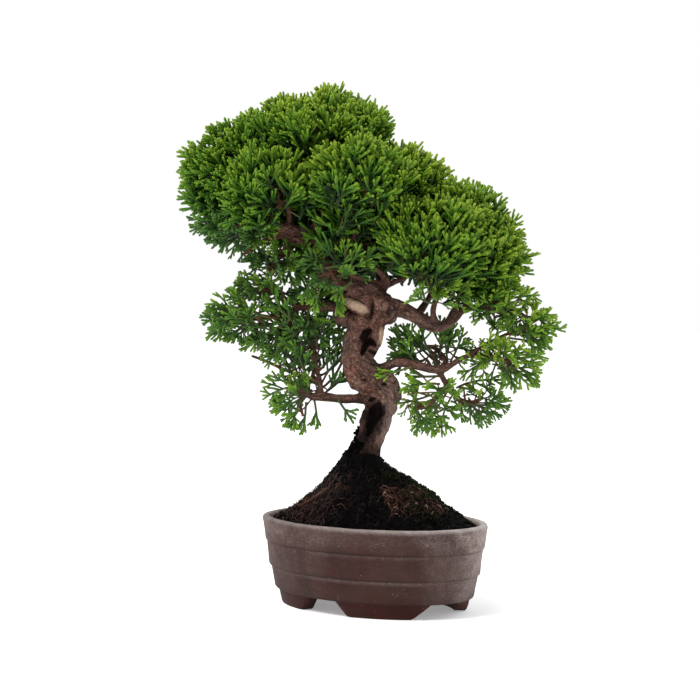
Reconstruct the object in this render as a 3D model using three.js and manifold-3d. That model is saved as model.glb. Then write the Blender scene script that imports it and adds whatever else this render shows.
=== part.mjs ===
// Juniper bonsai in an unglazed oval pot, millimetres, +Z up.
// The pot's long axis lies along X. The tree is described in its own frame, whose X runs along the
// tree's widest spread and whose -Y side is the tree's front; that frame is turned by TREE_TURN
// about Z against the pot. The whole object stands on z = 0, centred on its bounding box.
import * as THREE from "three";
import { mergeVertices } from "three/addons/utils/BufferGeometryUtils.js";
import Module from "manifold-3d";

const wasm = await Module();
wasm.setup();

// ---------------------------------------------------------------- driving dimensions
const TREE_TURN = THREE.MathUtils.degToRad(44); // tree's front against the pot's long axis
const POT_A = 78.4; // half length of the rim
const POT_B = 53.3; // half width of the rim
const POT_H = 52.8; // rim above the table
const FOOT_H = 8.8; // underside of the body above the table
const WALL = 4.8; // wall thickness at the rim
const FLOOR = 6.0; // thickness of the pot's floor
const BAND_1 = 14.9; // height of the top band
const BAND_2 = 15.1; // height of the middle band
const DRAIN_X = 30; // drainage holes, from the centre along the long axis
const DRAIN_R = 8;
const GAP = 0.3; // clearance between pieces that touch
const UNIT = 0.6; // the tree's tables below are in units of 0.6 mm
const POT_U = 373.0; // column of the pot's axis in those units
const SOIL_EDGE = 49.8; // soil level at the wall
const MOUND = 45.2; // height of the mound over that level
const SEG = 52;

// ---------------------------------------------------------------- helpers
function solidOf(geometry) {
  const g = geometry.index ? geometry.toNonIndexed() : geometry.clone();
  const bare = new THREE.BufferGeometry().setAttribute("position", g.getAttribute("position"));
  const merged = mergeVertices(bare, 1e-4);
  const t = [];
  const ix = merged.index.array;
  for (let i = 0; i < ix.length; i += 3)
    if (ix[i] !== ix[i + 1] && ix[i + 1] !== ix[i + 2] && ix[i] !== ix[i + 2]) t.push(ix[i], ix[i + 1], ix[i + 2]);
  const build = (tri) =>
    new wasm.Manifold(
      new wasm.Mesh({ numProp: 3, vertProperties: new Float32Array(merged.attributes.position.array), triVerts: new Uint32Array(tri) }),
    );
  const made = build(t);
  if (made.volume() >= 0) return made;
  const back = [];
  for (let i = 0; i < t.length; i += 3) back.push(t[i], t[i + 2], t[i + 1]);
  return build(back);
}

function geometryOf(solid) {
  const m = solid.getMesh();
  const v = new Float32Array(m.numVert * 3);
  for (let i = 0; i < m.numVert; i++)
    for (let k = 0; k < 3; k++) v[i * 3 + k] = m.vertProperties[i * m.numProp + k];
  const g = new THREE.BufferGeometry();
  g.setAttribute("position", new THREE.BufferAttribute(v, 3));
  g.setIndex(new THREE.BufferAttribute(new Uint32Array(m.triVerts), 1));
  g.computeVertexNormals();
  return g;
}

// The largest connected body of a solid.
function mainBody(solid) {
  const bodies = solid.decompose();
  bodies.sort((p, q) => q.volume() - p.volume());
  return bodies[0];
}

// A profile [[radius, height], ...] turned about Z, its width drawn in to `ratio` of its length.
function oval(profile, ratio, segments = SEG) {
  const g = new THREE.LatheGeometry(profile.map(([r, z]) => new THREE.Vector2(r, z)), segments);
  g.rotateX(Math.PI / 2);
  g.scale(1, ratio, 1);
  return g;
}

// ---------------------------------------------------------------- pot
const OUT = POT_B / POT_A;
const IN = (POT_B - WALL) / (POT_A - WALL);
const z1 = POT_H - BAND_1; // foot of the top band
const z2 = z1 - BAND_2; // foot of the middle band
const outside = [
  [0, FOOT_H],
  [POT_A - 10.4, FOOT_H],
  [POT_A - 9.2, FOOT_H + 0.9],
  [POT_A - 6.4, z2 - 0.4],
  [POT_A - 4.9, z2 + 0.4],
  [POT_A - 3.3, z1 - 0.4],
  [POT_A - 2.2, z1 + 0.4],
  [POT_A - 0.6, POT_H - 4.0],
  [POT_A, POT_H - 1.8],
  [POT_A - 0.6, POT_H - 0.4],
  [POT_A - 1.8, POT_H],
  [0, POT_H],
];
const inside = [
  [0, FOOT_H + FLOOR],
  [POT_A - 17.5, FOOT_H + FLOOR],
  [POT_A - 13.2, FOOT_H + FLOOR + 3.5],
  [POT_A - 8.6, z1 - 2],
  [POT_A - WALL - 0.6, POT_H - 4],
  [POT_A - WALL, POT_H - 1.2],
  [POT_A - WALL + 1.0, POT_H],
  [POT_A - WALL + 1.0, POT_H + 2],
  [0, POT_H + 2],
];
const footOut = [
  [0, 0],
  [POT_A - 13.4, 0],
  [POT_A - 12.8, 0.8],
  [POT_A - 10.7, FOOT_H + 0.4],
  [0, FOOT_H + 0.4],
];
const footIn = [
  [0, -2],
  [POT_A - 21.9, -2],
  [POT_A - 20.9, FOOT_H],
  [0, FOOT_H],
];
const FOOT_IN = 0.63;

// A tapering notch that leaves the feet: narrower under the body than at the table.
function notch(halfTop, halfFoot, length, alongX) {
  const s = new THREE.Shape([
    new THREE.Vector2(-halfFoot - 1.5, -1.5),
    new THREE.Vector2(halfFoot + 1.5, -1.5),
    new THREE.Vector2(halfTop, FOOT_H),
    new THREE.Vector2(-halfTop, FOOT_H),
  ]);
  const g = new THREE.ExtrudeGeometry(s, { depth: length, bevelEnabled: false });
  g.translate(0, 0, -length / 2);
  g.rotateX(Math.PI / 2); // the section's height becomes Z, the length runs along Y
  if (alongX) g.rotateZ(Math.PI / 2);
  return solidOf(g);
}

const feet = solidOf(oval(footOut, OUT))
  .subtract(solidOf(oval(footIn, FOOT_IN)))
  .subtract(notch(11.5, 19, 200, false))
  .subtract(notch(16.4, 24, 200, true));
let pot = solidOf(oval(outside, OUT)).add(feet).subtract(solidOf(oval(inside, IN)));
for (const sx of [-1, 1]) {
  const g = new THREE.CylinderGeometry(DRAIN_R, DRAIN_R, FLOOR * 3, 24);
  g.rotateX(Math.PI / 2);
  g.translate(sx * DRAIN_X, 0, FOOT_H + FLOOR / 2);
  pot = pot.subtract(solidOf(g));
}

// ---------------------------------------------------------------- drainage screens and their wires
const MESH_Z = FOOT_H + FLOOR + GAP;
const MESH_T = 1.0;
function screen(cx) {
  const plate = new THREE.BoxGeometry(24, 24, MESH_T);
  plate.translate(cx, 0, MESH_Z + MESH_T / 2);
  let s = solidOf(plate);
  for (let i = -2; i <= 2; i++)
    for (let j = -2; j <= 2; j++) {
      const cell = new THREE.BoxGeometry(3, 3, MESH_T * 3);
      cell.translate(cx + i * 4.4, j * 4.4, MESH_Z);
      s = s.subtract(solidOf(cell));
    }
  return s;
}
// A bent wire: over the screen, down through two of its openings and the hole, and out under the floor.
const WIRE_R = 0.6;
function staple(cx) {
  const top = MESH_Z + MESH_T + WIRE_R + GAP;
  const low = FOOT_H - WIRE_R - GAP;
  const pts = [
    [-13, low],
    [-6.6, low - 0.3],
    [-4.6, low + 2.2],
    [-4.4, top - 2.6],
    [-3.2, top],
    [0, top + 0.1],
    [3.2, top],
    [4.4, top - 2.6],
    [4.6, low + 2.2],
    [6.6, low - 0.3],
    [13, low],
  ].map(([x, z]) => new THREE.Vector3(cx + x, 0, z));
  const curve = new THREE.CatmullRomCurve3(pts, false, "catmullrom", 0.35);
  const s = new THREE.Shape();
  for (let i = 0; i < 6; i++) {
    const a = (i * Math.PI) / 3;
    const p = new THREE.Vector2(WIRE_R * Math.cos(a), WIRE_R * Math.sin(a));
    i ? s.lineTo(p.x, p.y) : s.moveTo(p.x, p.y);
  }
  s.closePath();
  return solidOf(new THREE.ExtrudeGeometry(s, { steps: 18, extrudePath: curve, bevelEnabled: false }));
}

// ---------------------------------------------------------------- the tree's own frame
// [u, v, y, r]: column, row and depth from the axis in units of 0.6 mm, with the limb's radius.
// A table row gives a column, a row down and a depth. The two first spread out from the point EYE,
// so a deeper point lies a little wider than a near one.
const EYE = { x: -(POT_U - 350) * UNIT, y: -1213, z: 193, tilt: Math.atan(39 / 1213), f: 1213 / UNIT };
function place(u, v, y) {
  const dx = (u - 350) / EYE.f;
  const dz = (350 - v) / EYE.f;
  const c = Math.cos(EYE.tilt);
  const s = Math.sin(EYE.tilt);
  const dir = [dx, c + dz * s, -s + dz * c];
  const t = (y * UNIT - EYE.y) / dir[1];
  return new THREE.Vector3(EYE.x + dir[0] * t, y * UNIT, EYE.z + dir[2] * t);
}
const turn = (v) => v.applyAxisAngle(new THREE.Vector3(0, 0, 1), TREE_TURN);

const LIMBS = {
  trunk: [10, [[358,528,4,22],[362,497,3,18],[366,470,2,15.5],[371,447,0,13.5],[375,428,-1,15],[380,408,-2,15.5],[382,394,-3,17.5],[372,382,-3,18],[361,369,-2,17.5],[356,354,0,14.5],[359,340,2,14.5],[367,328,3,15],[371,315,2,19],[368,303,0,22],[352,291,-2,17],[338,280,0,14],[327,266,4,12],[319,248,6,11],[319,230,6,9.5],[324,212,6,7.5],[333,194,4,6],[345,181,2,5],[355,170,2,4],[352,150,4,3],[340,128,6,2],[333,112,6,1.5]]],
  b1: [7, [[374,303,0,11],[393,307,-4,9],[405,311,-7,8],[416,317,-9,7.5],[428,324,-10,6.5],[440,327,-10,6],[452,322,-8,5],[461,312,-4,4.2],[470,298,0,3.5],[482,280,4,2.8],[492,262,6,2.2],[498,248,6,1.5]]],
  b1a: [5, [[436,325,-10,4.4],[433,310,-14,3.2],[437,296,-20,2.8],[440,280,-26,2.4],[436,262,-32,2],[432,245,-36,1.5]]],
  b1b: [5, [[449,322,-9,4],[458,300,0,3],[462,280,4,2.6],[464,258,6,2.2],[464,238,6,1.8],[462,222,6,1.4]]],
  b1c: [5, [[461,312,-4,3.4],[478,306,-4,2.6],[495,304,-4,2.2],[512,308,-4,1.8],[528,318,-6,1.4]]],
  b2: [7, [[368,374,0,8],[380,369,-2,6],[390,363,-4,5],[400,361.5,-6,4.8],[416,365,-8,4.5],[430,369,-9,4.3],[441,370,-9,4],[450,366,-8,3.5],[466,357,-4,3],[482,355,0,2.4],[498,358,2,1.9],[512,362,2,1.4]]],
  b2a: [5, [[438,369,-9,3.4],[447,385,-10,2.8],[457,398,-10,2.3],[464,407,-8,1.8]]],
  b2b: [5, [[447,385,-10,2.4],[436,398,-12,1.8],[426,407,-12,1.6],[410,407,-12,1.4]]],
  b2c: [5, [[466,357,-4,2.6],[485,345,-4,2],[505,335,-6,1.8],[522,328,-8,1.4]]],
  b2d: [5, [[457,398,-10,2],[470,402,0,1.7],[482,398,6,1.4]]],
  b3: [7, [[374,394,-2,9],[360,398,-4,6],[346,398.5,-6,5],[330,396,-7,4.6],[313,396,-8,4.2],[301,391,-8,3.6],[293,384,-7,3],[288,375,-5,2]]],
  b3a: [5, [[321,396,-7,3.8],[320,382,-3,2.8],[316,366,4,2.5],[314,345,10,2.2],[318,325,14,1.8],[322,310,16,1.4]]],
  b3b: [5, [[301,391,-8,2.8],[300,404,-10,2],[303,416,-11,1.4]]],
  b3c: [5, [[320,382,-3,2.4],[302,376,0,2],[283,369,2,1.8],[268,362,3,1.6],[252,356,3,1.4]]],
  b4: [7, [[352,298,4,7],[336,306,8,5],[318,308,10,4.2],[304,307,10,3.6],[294,304,10,3],[281,296,8,2.6],[268,291,6,2],[255,288,4,1.4]]],
  b4a: [5, [[304,307,10,2.8],[285,314,8,2.2],[265,318,5,2],[248,320,3,1.7],[232,322,1,1.4]]],
  b5: [7, [[320,231,6,8],[306,231,4,6.5],[294,230,2,6],[282,227,0,5],[270,222,-2,3.8],[256,214,-4,3],[240,206,-6,2.4],[225,198,-7,1.8],[212,190,-7,1.4]]],
  b5a: [5, [[290,229,2,4],[289,214,2,3],[286,200,0,2.6],[280,186,-6,2.2],[272,174,-14,1.8],[264,166,-20,1.4]]],
  b5b: [5, [[256,214,-4,2.4],[246,222,0,1.8],[234,228,3,1.6],[222,230,4,1.4]]],
  b6: [7, [[320,248,6,8],[304,242,4,6],[292,238,3,5],[281,235,2,4.2],[268,240,4,3.2],[255,246,6,2.4],[244,254,7,1.6]]],
  b6a: [5, [[292,238,3,3.4],[284,250,8,2.6],[276,262,12,2],[268,272,14,1.4]]],
  b7: [5, [[345,181,2,4.4],[362,178,4,3.6],[380,178,6,3.2],[398,180,8,2.8],[415,182,10,2.2],[430,186,10,1.5]]],
  b8: [5, [[333,194,4,4.6],[320,176,2,3.5],[304,160,2,3],[288,148,2,2.4],[272,140,2,1.6]]],
  b9: [5, [[345,181,2,3.4],[352,172,-16,2.6],[358,165,-32,2.2],[362,158,-42,1.5]]],
  b10: [5, [[382,292,0,6],[386,279,-4,4.5],[378,270,-10,3.2],[369,262,-14,2.6],[361,254,-18,2],[355,240,-20,1.6],[352,226,-20,1.4]]],
  b10a: [5, [[386,284,-3,3.4],[371,281,-10,2.6],[357,277,-15,2.2],[343,272,-18,1.8],[330,270,-19,1.4]]],
  b10b: [5, [[386,286,0,3.8],[398,281,4,3],[411,272,10,2.6],[425,262,18,2.2],[438,250,28,1.8],[446,238,38,1.4]]],
  b10c: [5, [[384,284,2,4.4],[376,268,16,3.4],[368,250,28,2.8],[360,235,36,2.2],[356,222,42,1.6]]],
  b11: [5, [[326,262,8,8],[322,250,22,5],[315,238,36,4],[300,222,46,3],[282,206,52,2.4],[266,194,54,1.8]]],
  b12: [5, [[322,216,8,6],[328,204,22,4],[336,192,38,3.4],[342,178,52,2.6],[346,165,60,1.8]]],
  b13: [5, [[412,315,-6,5],[420,312,8,4],[430,296,24,3.4],[440,272,40,2.8],[446,250,52,2.2],[446,232,58,1.5]]],
  b14: [5, [[441,370,-8,3.6],[446,362,6,3],[440,352,18,2.4],[430,346,26,1.8]]],
  ridge: [8, [[371,357,-9,4],[375,349,-11,4.6],[378.5,340,-11,5.2],[379,330,-9,6],[380,320,-6,7]]],
  r1: [5, [[360,474,-4,9],[343,478,-6,5],[328,489,-6,3],[311,500,-8,2.2],[296,508,-10,1.6]]],
  r2: [5, [[362,486,-4,9],[366,504,-26,5],[376,520,-50,3],[384,530,-68,2]]],
  r3: [5, [[372,478,4,9],[392,497,8,6],[416,512,10,4],[440,524,10,2.4]]],
  r4: [5, [[362,490,8,9],[350,506,30,5.5],[342,518,52,3.4],[336,528,68,2]]],
  r5: [5, [[366,492,6,9],[384,508,32,5.5],[398,520,54,3.4],[410,530,66,2]]],
};

// One limb: rings along a smooth curve through the table's points, closed at both ends, with a
// radius that runs evenly from one point to the next.
function limb(sides, rows, grow, steps) {
  const pts = rows.map(([u, v, y]) => turn(place(u, v, y)));
  const curve = new THREE.CatmullRomCurve3(pts, false, "centripetal");
  const n = (rows.length - 1) * steps;
  const pos = [];
  let normal = new THREE.Vector3(0.3, -1, 0.2).normalize();
  for (let i = 0; i <= n; i++) {
    const t = i / n;
    const p = curve.getPoint(t);
    const d = curve.getTangent(t);
    const side = new THREE.Vector3().crossVectors(d, normal).normalize();
    normal = new THREE.Vector3().crossVectors(side, d).normalize();
    const k = t * (rows.length - 1);
    const j = Math.min(Math.floor(k), rows.length - 2);
    const r = (rows[j][3] + (rows[j + 1][3] - rows[j][3]) * (k - j)) * UNIT + grow;
    const end = i === 0 ? -grow : i === n ? grow : 0;
    p.addScaledVector(d, end);
    for (let a = 0; a < sides; a++) {
      const w = (a / sides) * Math.PI * 2;
      pos.push(p.clone().addScaledVector(side, r * Math.cos(w)).addScaledVector(normal, r * Math.sin(w)));
    }
  }
  const tri = [];
  for (let i = 0; i < n; i++)
    for (let a = 0; a < sides; a++) {
      const b = (a + 1) % sides;
      const p = i * sides;
      const q = p + sides;
      tri.push(p + a, p + b, q + b, p + a, q + b, q + a);
    }
  for (let a = 1; a < sides - 1; a++) {
    tri.push(0, a + 1, a);
    tri.push(n * sides, n * sides + a, n * sides + a + 1);
  }
  const g = new THREE.BufferGeometry().setFromPoints(pos);
  g.setIndex(tri);
  return solidOf(g);
}
function treeSolid(grow) {
  let s = null;
  for (const [name, [sides, rows]] of Object.entries(LIMBS)) {
    const one = limb(sides, rows, grow, name === "trunk" ? 2 : 1);
    s = s ? s.add(one) : one;
  }
  return mainBody(s);
}
const tree = treeSolid(0);
const treeRoom = treeSolid(GAP + 0.1);

// ---------------------------------------------------------------- soil mound
const LEFT_FALL = [[0, 1], [0.15, 1], [0.22, 0.9], [0.28, 0.78], [0.34, 0.67], [0.48, 0.45], [0.7, 0.22], [0.86, 0.1], [1, 0]];
const RIGHT_FALL = [[0, 1], [0.15, 0.9], [0.22, 0.77], [0.31, 0.68], [0.42, 0.6], [0.52, 0.51], [0.62, 0.42], [0.71, 0.3], [0.83, 0.16], [0.9, 0.09], [1, 0]];
function lookUp(table, s) {
  for (let i = 1; i < table.length; i++)
    if (s <= table[i][0]) {
      const [a, p] = table[i - 1];
      const [b, q] = table[i];
      return p + ((q - p) * (s - a)) / (b - a);
    }
  return 0;
}
const PEAK = turn(place(363, 450, 1));
const EDGE_A = POT_A - WALL - GAP - 0.4;
const EDGE_B = EDGE_A * IN;
function mound(x, y) {
  const dx = x - PEAK.x;
  const dy = y - PEAK.y;
  const d = Math.hypot(dx, dy);
  if (d < 1e-6) return SOIL_EDGE + MOUND;
  const ex = dx / d / EDGE_A;
  const ey = dy / d / EDGE_B;
  const px = PEAK.x / EDGE_A;
  const py = PEAK.y / EDGE_B;
  const A = ex * ex + ey * ey;
  const B = ex * px + ey * py;
  const reach = (-B + Math.sqrt(B * B - A * (px * px + py * py - 1))) / A;
  const s = Math.min(d / reach, 1);
  const right = 0.5 + 0.5 * Math.cos(Math.atan2(dy, dx) - TREE_TURN);
  return SOIL_EDGE + MOUND * (lookUp(RIGHT_FALL, s) * right + lookUp(LEFT_FALL, s) * (1 - right));
}
function soilSolid(lift) {
  const profile = [
    [0, FOOT_H + FLOOR + GAP],
    [POT_A - 17.5 - GAP - 0.3, FOOT_H + FLOOR + GAP],
    [POT_A - 13.2 - GAP - 0.3, FOOT_H + FLOOR + 3.5 + GAP],
    [POT_A - 8.6 - GAP - 0.3, z1 - 2],
    [EDGE_A, SOIL_EDGE],
  ];
  const rings = 12;
  for (let i = 1; i <= rings; i++) profile.push([EDGE_A * (1 - i / rings), POT_H + 20]);
  const g = oval(profile, IN, 40);
  const p = g.getAttribute("position");
  for (let i = 0; i < p.count; i++) if (p.getZ(i) > POT_H) p.setZ(i, mound(p.getX(i), p.getY(i)) + lift);
  return solidOf(g);
}
const soilRaised = soilSolid(0.35);
let soil = soilSolid(0).subtract(treeRoom);
for (const sx of [-1, 1]) {
  const g = new THREE.BoxGeometry(29, 25.2, 5);
  g.translate(sx * DRAIN_X, 0, FOOT_H + FLOOR + 1.2);
  soil = soil.subtract(solidOf(g));
}
soil = mainBody(soil);

// Moss on the right of the mound: a patch of even thickness that follows the soil.
function mossSolid() {
  const rows = 8;
  const cols = 12;
  const top = [];
  const low = [];
  for (let i = 0; i <= rows; i++)
    for (let j = 0; j <= cols; j++) {
      const edge = Math.sin((Math.PI * j) / cols);
      const s0 = 0.2 - 0.05 * edge;
      const s1 = 0.78 + 0.17 * edge;
      const s = s0 + ((s1 - s0) * i) / rows;
      const a = TREE_TURN + THREE.MathUtils.degToRad(-38 + (j / cols) * 128);
      const ex = Math.cos(a) / EDGE_A;
      const ey = Math.sin(a) / EDGE_B;
      const px = PEAK.x / EDGE_A;
      const py = PEAK.y / EDGE_B;
      const A = ex * ex + ey * ey;
      const B = ex * px + ey * py;
      const reach = ((-B + Math.sqrt(B * B - A * (px * px + py * py - 1))) / A) * s;
      const x = PEAK.x + reach * Math.cos(a);
      const y = PEAK.y + reach * Math.sin(a);
      const border = i === 0 || j === 0 || i === rows || j === cols;
      top.push(new THREE.Vector3(x, y, mound(x, y) + (border ? 1.0 : 2.4)));
      low.push(new THREE.Vector3(x, y, mound(x, y) - 4));
    }
  const w = cols + 1;
  const n = top.length;
  const tri = [];
  for (let i = 0; i < rows; i++)
    for (let j = 0; j < cols; j++) {
      const p = i * w + j;
      tri.push(p, p + w, p + w + 1, p, p + w + 1, p + 1);
      tri.push(n + p, n + p + w + 1, n + p + w, n + p, n + p + 1, n + p + w + 1);
    }
  const rim = [];
  for (let j = 0; j < cols; j++) rim.push(j);
  for (let i = 0; i < rows; i++) rim.push(i * w + cols);
  for (let j = cols; j > 0; j--) rim.push(rows * w + j);
  for (let i = rows; i > 0; i--) rim.push(i * w);
  for (let k = 0; k < rim.length; k++) {
    const a = rim[k];
    const b = rim[(k + 1) % rim.length];
    tri.push(a, b, n + b, a, n + b, n + a);
  }
  const g = new THREE.BufferGeometry().setFromPoints([...top, ...low]);
  g.setIndex(tri);
  return mainBody(solidOf(g).subtract(soilRaised).subtract(treeRoom));
}
const moss = mossSolid();

// ---------------------------------------------------------------- foliage pads
// name: [u, v, y, half width, half depth, half height, lean in degrees]
const PADS = {
  foliage_apex: [324, 119, 5, 66, 58, 38, 0],
  foliage_apex_left: [258, 139, 4, 50, 48, 37, -14],
  foliage_left_tip: [213, 183, -4, 42, 42, 42, 0],
  foliage_front_centre: [357, 160, -42, 54, 36, 33, 6],
  foliage_front_left: [266, 180, -40, 48, 34, 38, 0],
  foliage_left_low: [236, 226, 4, 48, 46, 33, 0],
  foliage_right_shoulder: [414, 176, 12, 42, 48, 31, 26],
  foliage_right_upper: [464, 214, 6, 48, 50, 34, 26],
  foliage_right_front: [430, 230, -40, 52, 38, 38, 0],
  foliage_right_outer: [492, 256, 0, 38, 46, 44, 0],
  foliage_centre: [352, 212, -10, 50, 34, 36, 0],
  foliage_front_low: [346, 262, -36, 46, 24, 30, 8],
  foliage_right_under: [428, 284, -26, 42, 30, 26, 0],
  foliage_left_inner: [288, 262, 10, 48, 40, 28, 0],
  foliage_left_hang: [262, 294, 6, 40, 30, 20, -6],
  foliage_left_under: [322, 294, 26, 36, 30, 20, 0],
  foliage_right_lower: [500, 304, 2, 38, 36, 27, 0],
  foliage_right_tip: [532, 328, -8, 34, 28, 25, 0],
  foliage_left_tuft: [240, 322, 0, 40, 34, 27, 0],
  foliage_left_mid: [298, 336, 20, 42, 38, 40, 0],
  foliage_left_foot: [298, 398, -6, 30, 28, 30, 0],
  foliage_right_low: [504, 364, 0, 42, 36, 30, 0],
  foliage_right_mid: [430, 340, 30, 46, 32, 30, 0],
  foliage_right_drop: [430, 408, -12, 40, 30, 28, 0],
  foliage_right_hem: [484, 400, 8, 35, 30, 28, 0],
  foliage_back_top: [338, 160, 58, 62, 40, 46, 0],
  foliage_back_left: [256, 194, 50, 52, 40, 44, 0],
  foliage_back_right: [440, 224, 60, 58, 42, 50, 10],
  foliage_back_low: [356, 246, 52, 52, 36, 40, 0],
};

const pads = Object.entries(PADS).map(([name, [u, v, y, a, b, c, lean]], index) => {
  const centre = turn(place(u, v, y));
  const g = new THREE.IcosahedronGeometry(1, 2);
  const p = g.getAttribute("position");
  const q = new THREE.Vector3();
  const m = new THREE.Matrix4()
    .makeRotationZ(TREE_TURN)
    .multiply(new THREE.Matrix4().makeRotationY(THREE.MathUtils.degToRad(lean)))
    .multiply(new THREE.Matrix4().makeScale(a * UNIT, b * UNIT, c * UNIT));
  for (let i = 0; i < p.count; i++) {
    q.fromBufferAttribute(p, i);
    // a billowed surface, flatter underneath
    const bump = 1 + 0.035 * Math.sin(5 * q.x + index) * Math.cos(4 * q.y - index) + 0.03 * Math.cos(6 * q.z + 2 * index);
    q.multiplyScalar(bump);
    if (q.z < -0.75) q.z = -0.75 + (q.z + 0.75) * 0.4;
    q.applyMatrix4(m).add(centre);
    p.setXYZ(i, q.x, q.y, q.z);
  }
  const reach = (n) => {
    const inv = n.clone().applyMatrix4(new THREE.Matrix4().makeRotationZ(-TREE_TURN));
    const l = inv.applyMatrix4(new THREE.Matrix4().makeRotationY(-THREE.MathUtils.degToRad(lean)));
    return Math.hypot(l.x * a, l.y * b, l.z * c) * UNIT;
  };
  return { name, centre, reach, solid: solidOf(g) };
});
// Neighbouring pads meet on a plane between them.
for (const one of pads) {
  let s = one.solid;
  for (const other of pads) {
    if (one === other) continue;
    const n = other.centre.clone().sub(one.centre);
    const d = n.length();
    n.normalize();
    const ra = one.reach(n);
    const rb = other.reach(n);
    if (d >= ra + rb + 1) continue;
    if (one.solid.intersect(other.solid).volume() <= 0) continue;
    const at = (d + ra - rb) / 2;
    const off = one.centre.dot(n) + at - (GAP / 2 + 0.05);
    s = s.trimByPlane([-n.x, -n.y, -n.z], -off);
  }
  one.cut = s;
}
for (const one of pads) one.cut = mainBody(one.cut.subtract(treeRoom));

// ---------------------------------------------------------------- the object
const looks = {
  pot: new THREE.MeshStandardMaterial({ color: 0x5a3f38, roughness: 0.82, metalness: 0 }),
  soil: new THREE.MeshStandardMaterial({ color: 0x17120f, roughness: 0.95, metalness: 0 }),
  moss: new THREE.MeshStandardMaterial({ color: 0x2f3a16, roughness: 0.95, metalness: 0 }),
  bark: new THREE.MeshStandardMaterial({ color: 0x5c443a, roughness: 0.85, metalness: 0 }),
  leaf: new THREE.MeshStandardMaterial({ color: 0x3c7a1e, roughness: 0.5, metalness: 0 }),
  screen: new THREE.MeshStandardMaterial({ color: 0x151515, roughness: 0.5, metalness: 0 }),
  wire: new THREE.MeshStandardMaterial({ color: 0x9a9a9c, roughness: 0.35, metalness: 1 }),
};
const bonsai = new THREE.Group();
function add(name, solid, look) {
  const mesh = new THREE.Mesh(geometryOf(solid), looks[look]);
  mesh.name = name;
  bonsai.add(mesh);
}
add("pot", pot, "pot");
add("drain_screen_left", screen(-DRAIN_X), "screen");
add("drain_screen_right", screen(DRAIN_X), "screen");
add("screen_wire_left", staple(-DRAIN_X), "wire");
add("screen_wire_right", staple(DRAIN_X), "wire");
add("soil", soil, "soil");
add("moss", moss, "moss");
add("trunk_and_branches", tree, "bark");
for (const one of pads) add(one.name, one.cut, "leaf");

// Stand the object's bounding box centrally over the origin.
const box = new THREE.Box3().setFromObject(bonsai);
bonsai.position.set(-(box.min.x + box.max.x) / 2, -(box.min.y + box.max.y) / 2, -box.min.z);

const root = new THREE.Group();
root.add(bonsai);
export default root;
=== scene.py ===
import bpy
import math
import numpy as np
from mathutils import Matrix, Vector


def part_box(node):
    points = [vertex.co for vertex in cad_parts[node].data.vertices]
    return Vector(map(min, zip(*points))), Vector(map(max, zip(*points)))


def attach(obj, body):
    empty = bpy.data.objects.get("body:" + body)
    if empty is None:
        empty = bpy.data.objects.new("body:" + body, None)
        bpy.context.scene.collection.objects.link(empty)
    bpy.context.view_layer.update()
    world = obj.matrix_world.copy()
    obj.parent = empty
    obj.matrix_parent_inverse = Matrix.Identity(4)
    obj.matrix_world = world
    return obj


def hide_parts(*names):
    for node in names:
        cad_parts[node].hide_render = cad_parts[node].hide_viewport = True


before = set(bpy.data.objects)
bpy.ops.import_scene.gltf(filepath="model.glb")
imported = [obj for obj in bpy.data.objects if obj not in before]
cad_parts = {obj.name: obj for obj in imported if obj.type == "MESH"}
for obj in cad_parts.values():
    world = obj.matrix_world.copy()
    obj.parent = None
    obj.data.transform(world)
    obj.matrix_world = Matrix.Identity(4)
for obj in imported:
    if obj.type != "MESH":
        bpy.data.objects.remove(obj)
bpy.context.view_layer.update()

lo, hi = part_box("pot")
POT = np.array([(lo.x + hi.x) / 2, (lo.y + hi.y) / 2, 0.0])  # the pot's axis, metres
TURN = math.radians(44)
UNIT = 0.6
rng = np.random.default_rng(4171)

# ------------------------------------------------------------------ sizes of the pot, mm
POT_A, POT_B, POT_H = 78.4, 53.3, 52.8
FOOT_H, WALL, FLOOR = 8.8, 4.8, 6.0
Z1 = POT_H - 14.9
Z2 = Z1 - 15.1
OUT = POT_B / POT_A
IN = (POT_B - WALL) / (POT_A - WALL)
SOIL_EDGE, MOUND = 49.8, 45.2

# ------------------------------------------------------------------ the tree's own frame
EYE = (-13.8, -1213.0, 193.0)
TILT = math.atan(39 / 1213)
FPX = 1213 / UNIT


def place(u, v, y):
    """Column, row and depth in units of 0.6 mm to the tree's own frame in mm; works on arrays."""
    u, v, y = np.broadcast_arrays(np.asarray(u, float), np.asarray(v, float), np.asarray(y, float))
    dx = (u - 350) / FPX
    dz = (350 - v) / FPX
    c, s = math.cos(TILT), math.sin(TILT)
    dy2 = c + dz * s
    dz2 = -s + dz * c
    t = (y * UNIT - EYE[1]) / dy2
    return np.stack([EYE[0] + dx * t, y * UNIT, EYE[2] + dz2 * t], -1)


COS, SIN = math.cos(TURN), math.sin(TURN)


def turn(p):
    """The tree's own frame to the pot's frame, mm."""
    p = np.asarray(p, float)
    return np.stack([p[..., 0] * COS - p[..., 1] * SIN, p[..., 0] * SIN + p[..., 1] * COS, p[..., 2]], -1)


def unturn(p):
    p = np.asarray(p, float)
    return np.stack([p[..., 0] * COS + p[..., 1] * SIN, -p[..., 0] * SIN + p[..., 1] * COS, p[..., 2]], -1)


def metres(p):
    return np.asarray(p, float) * 0.001 + POT


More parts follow.
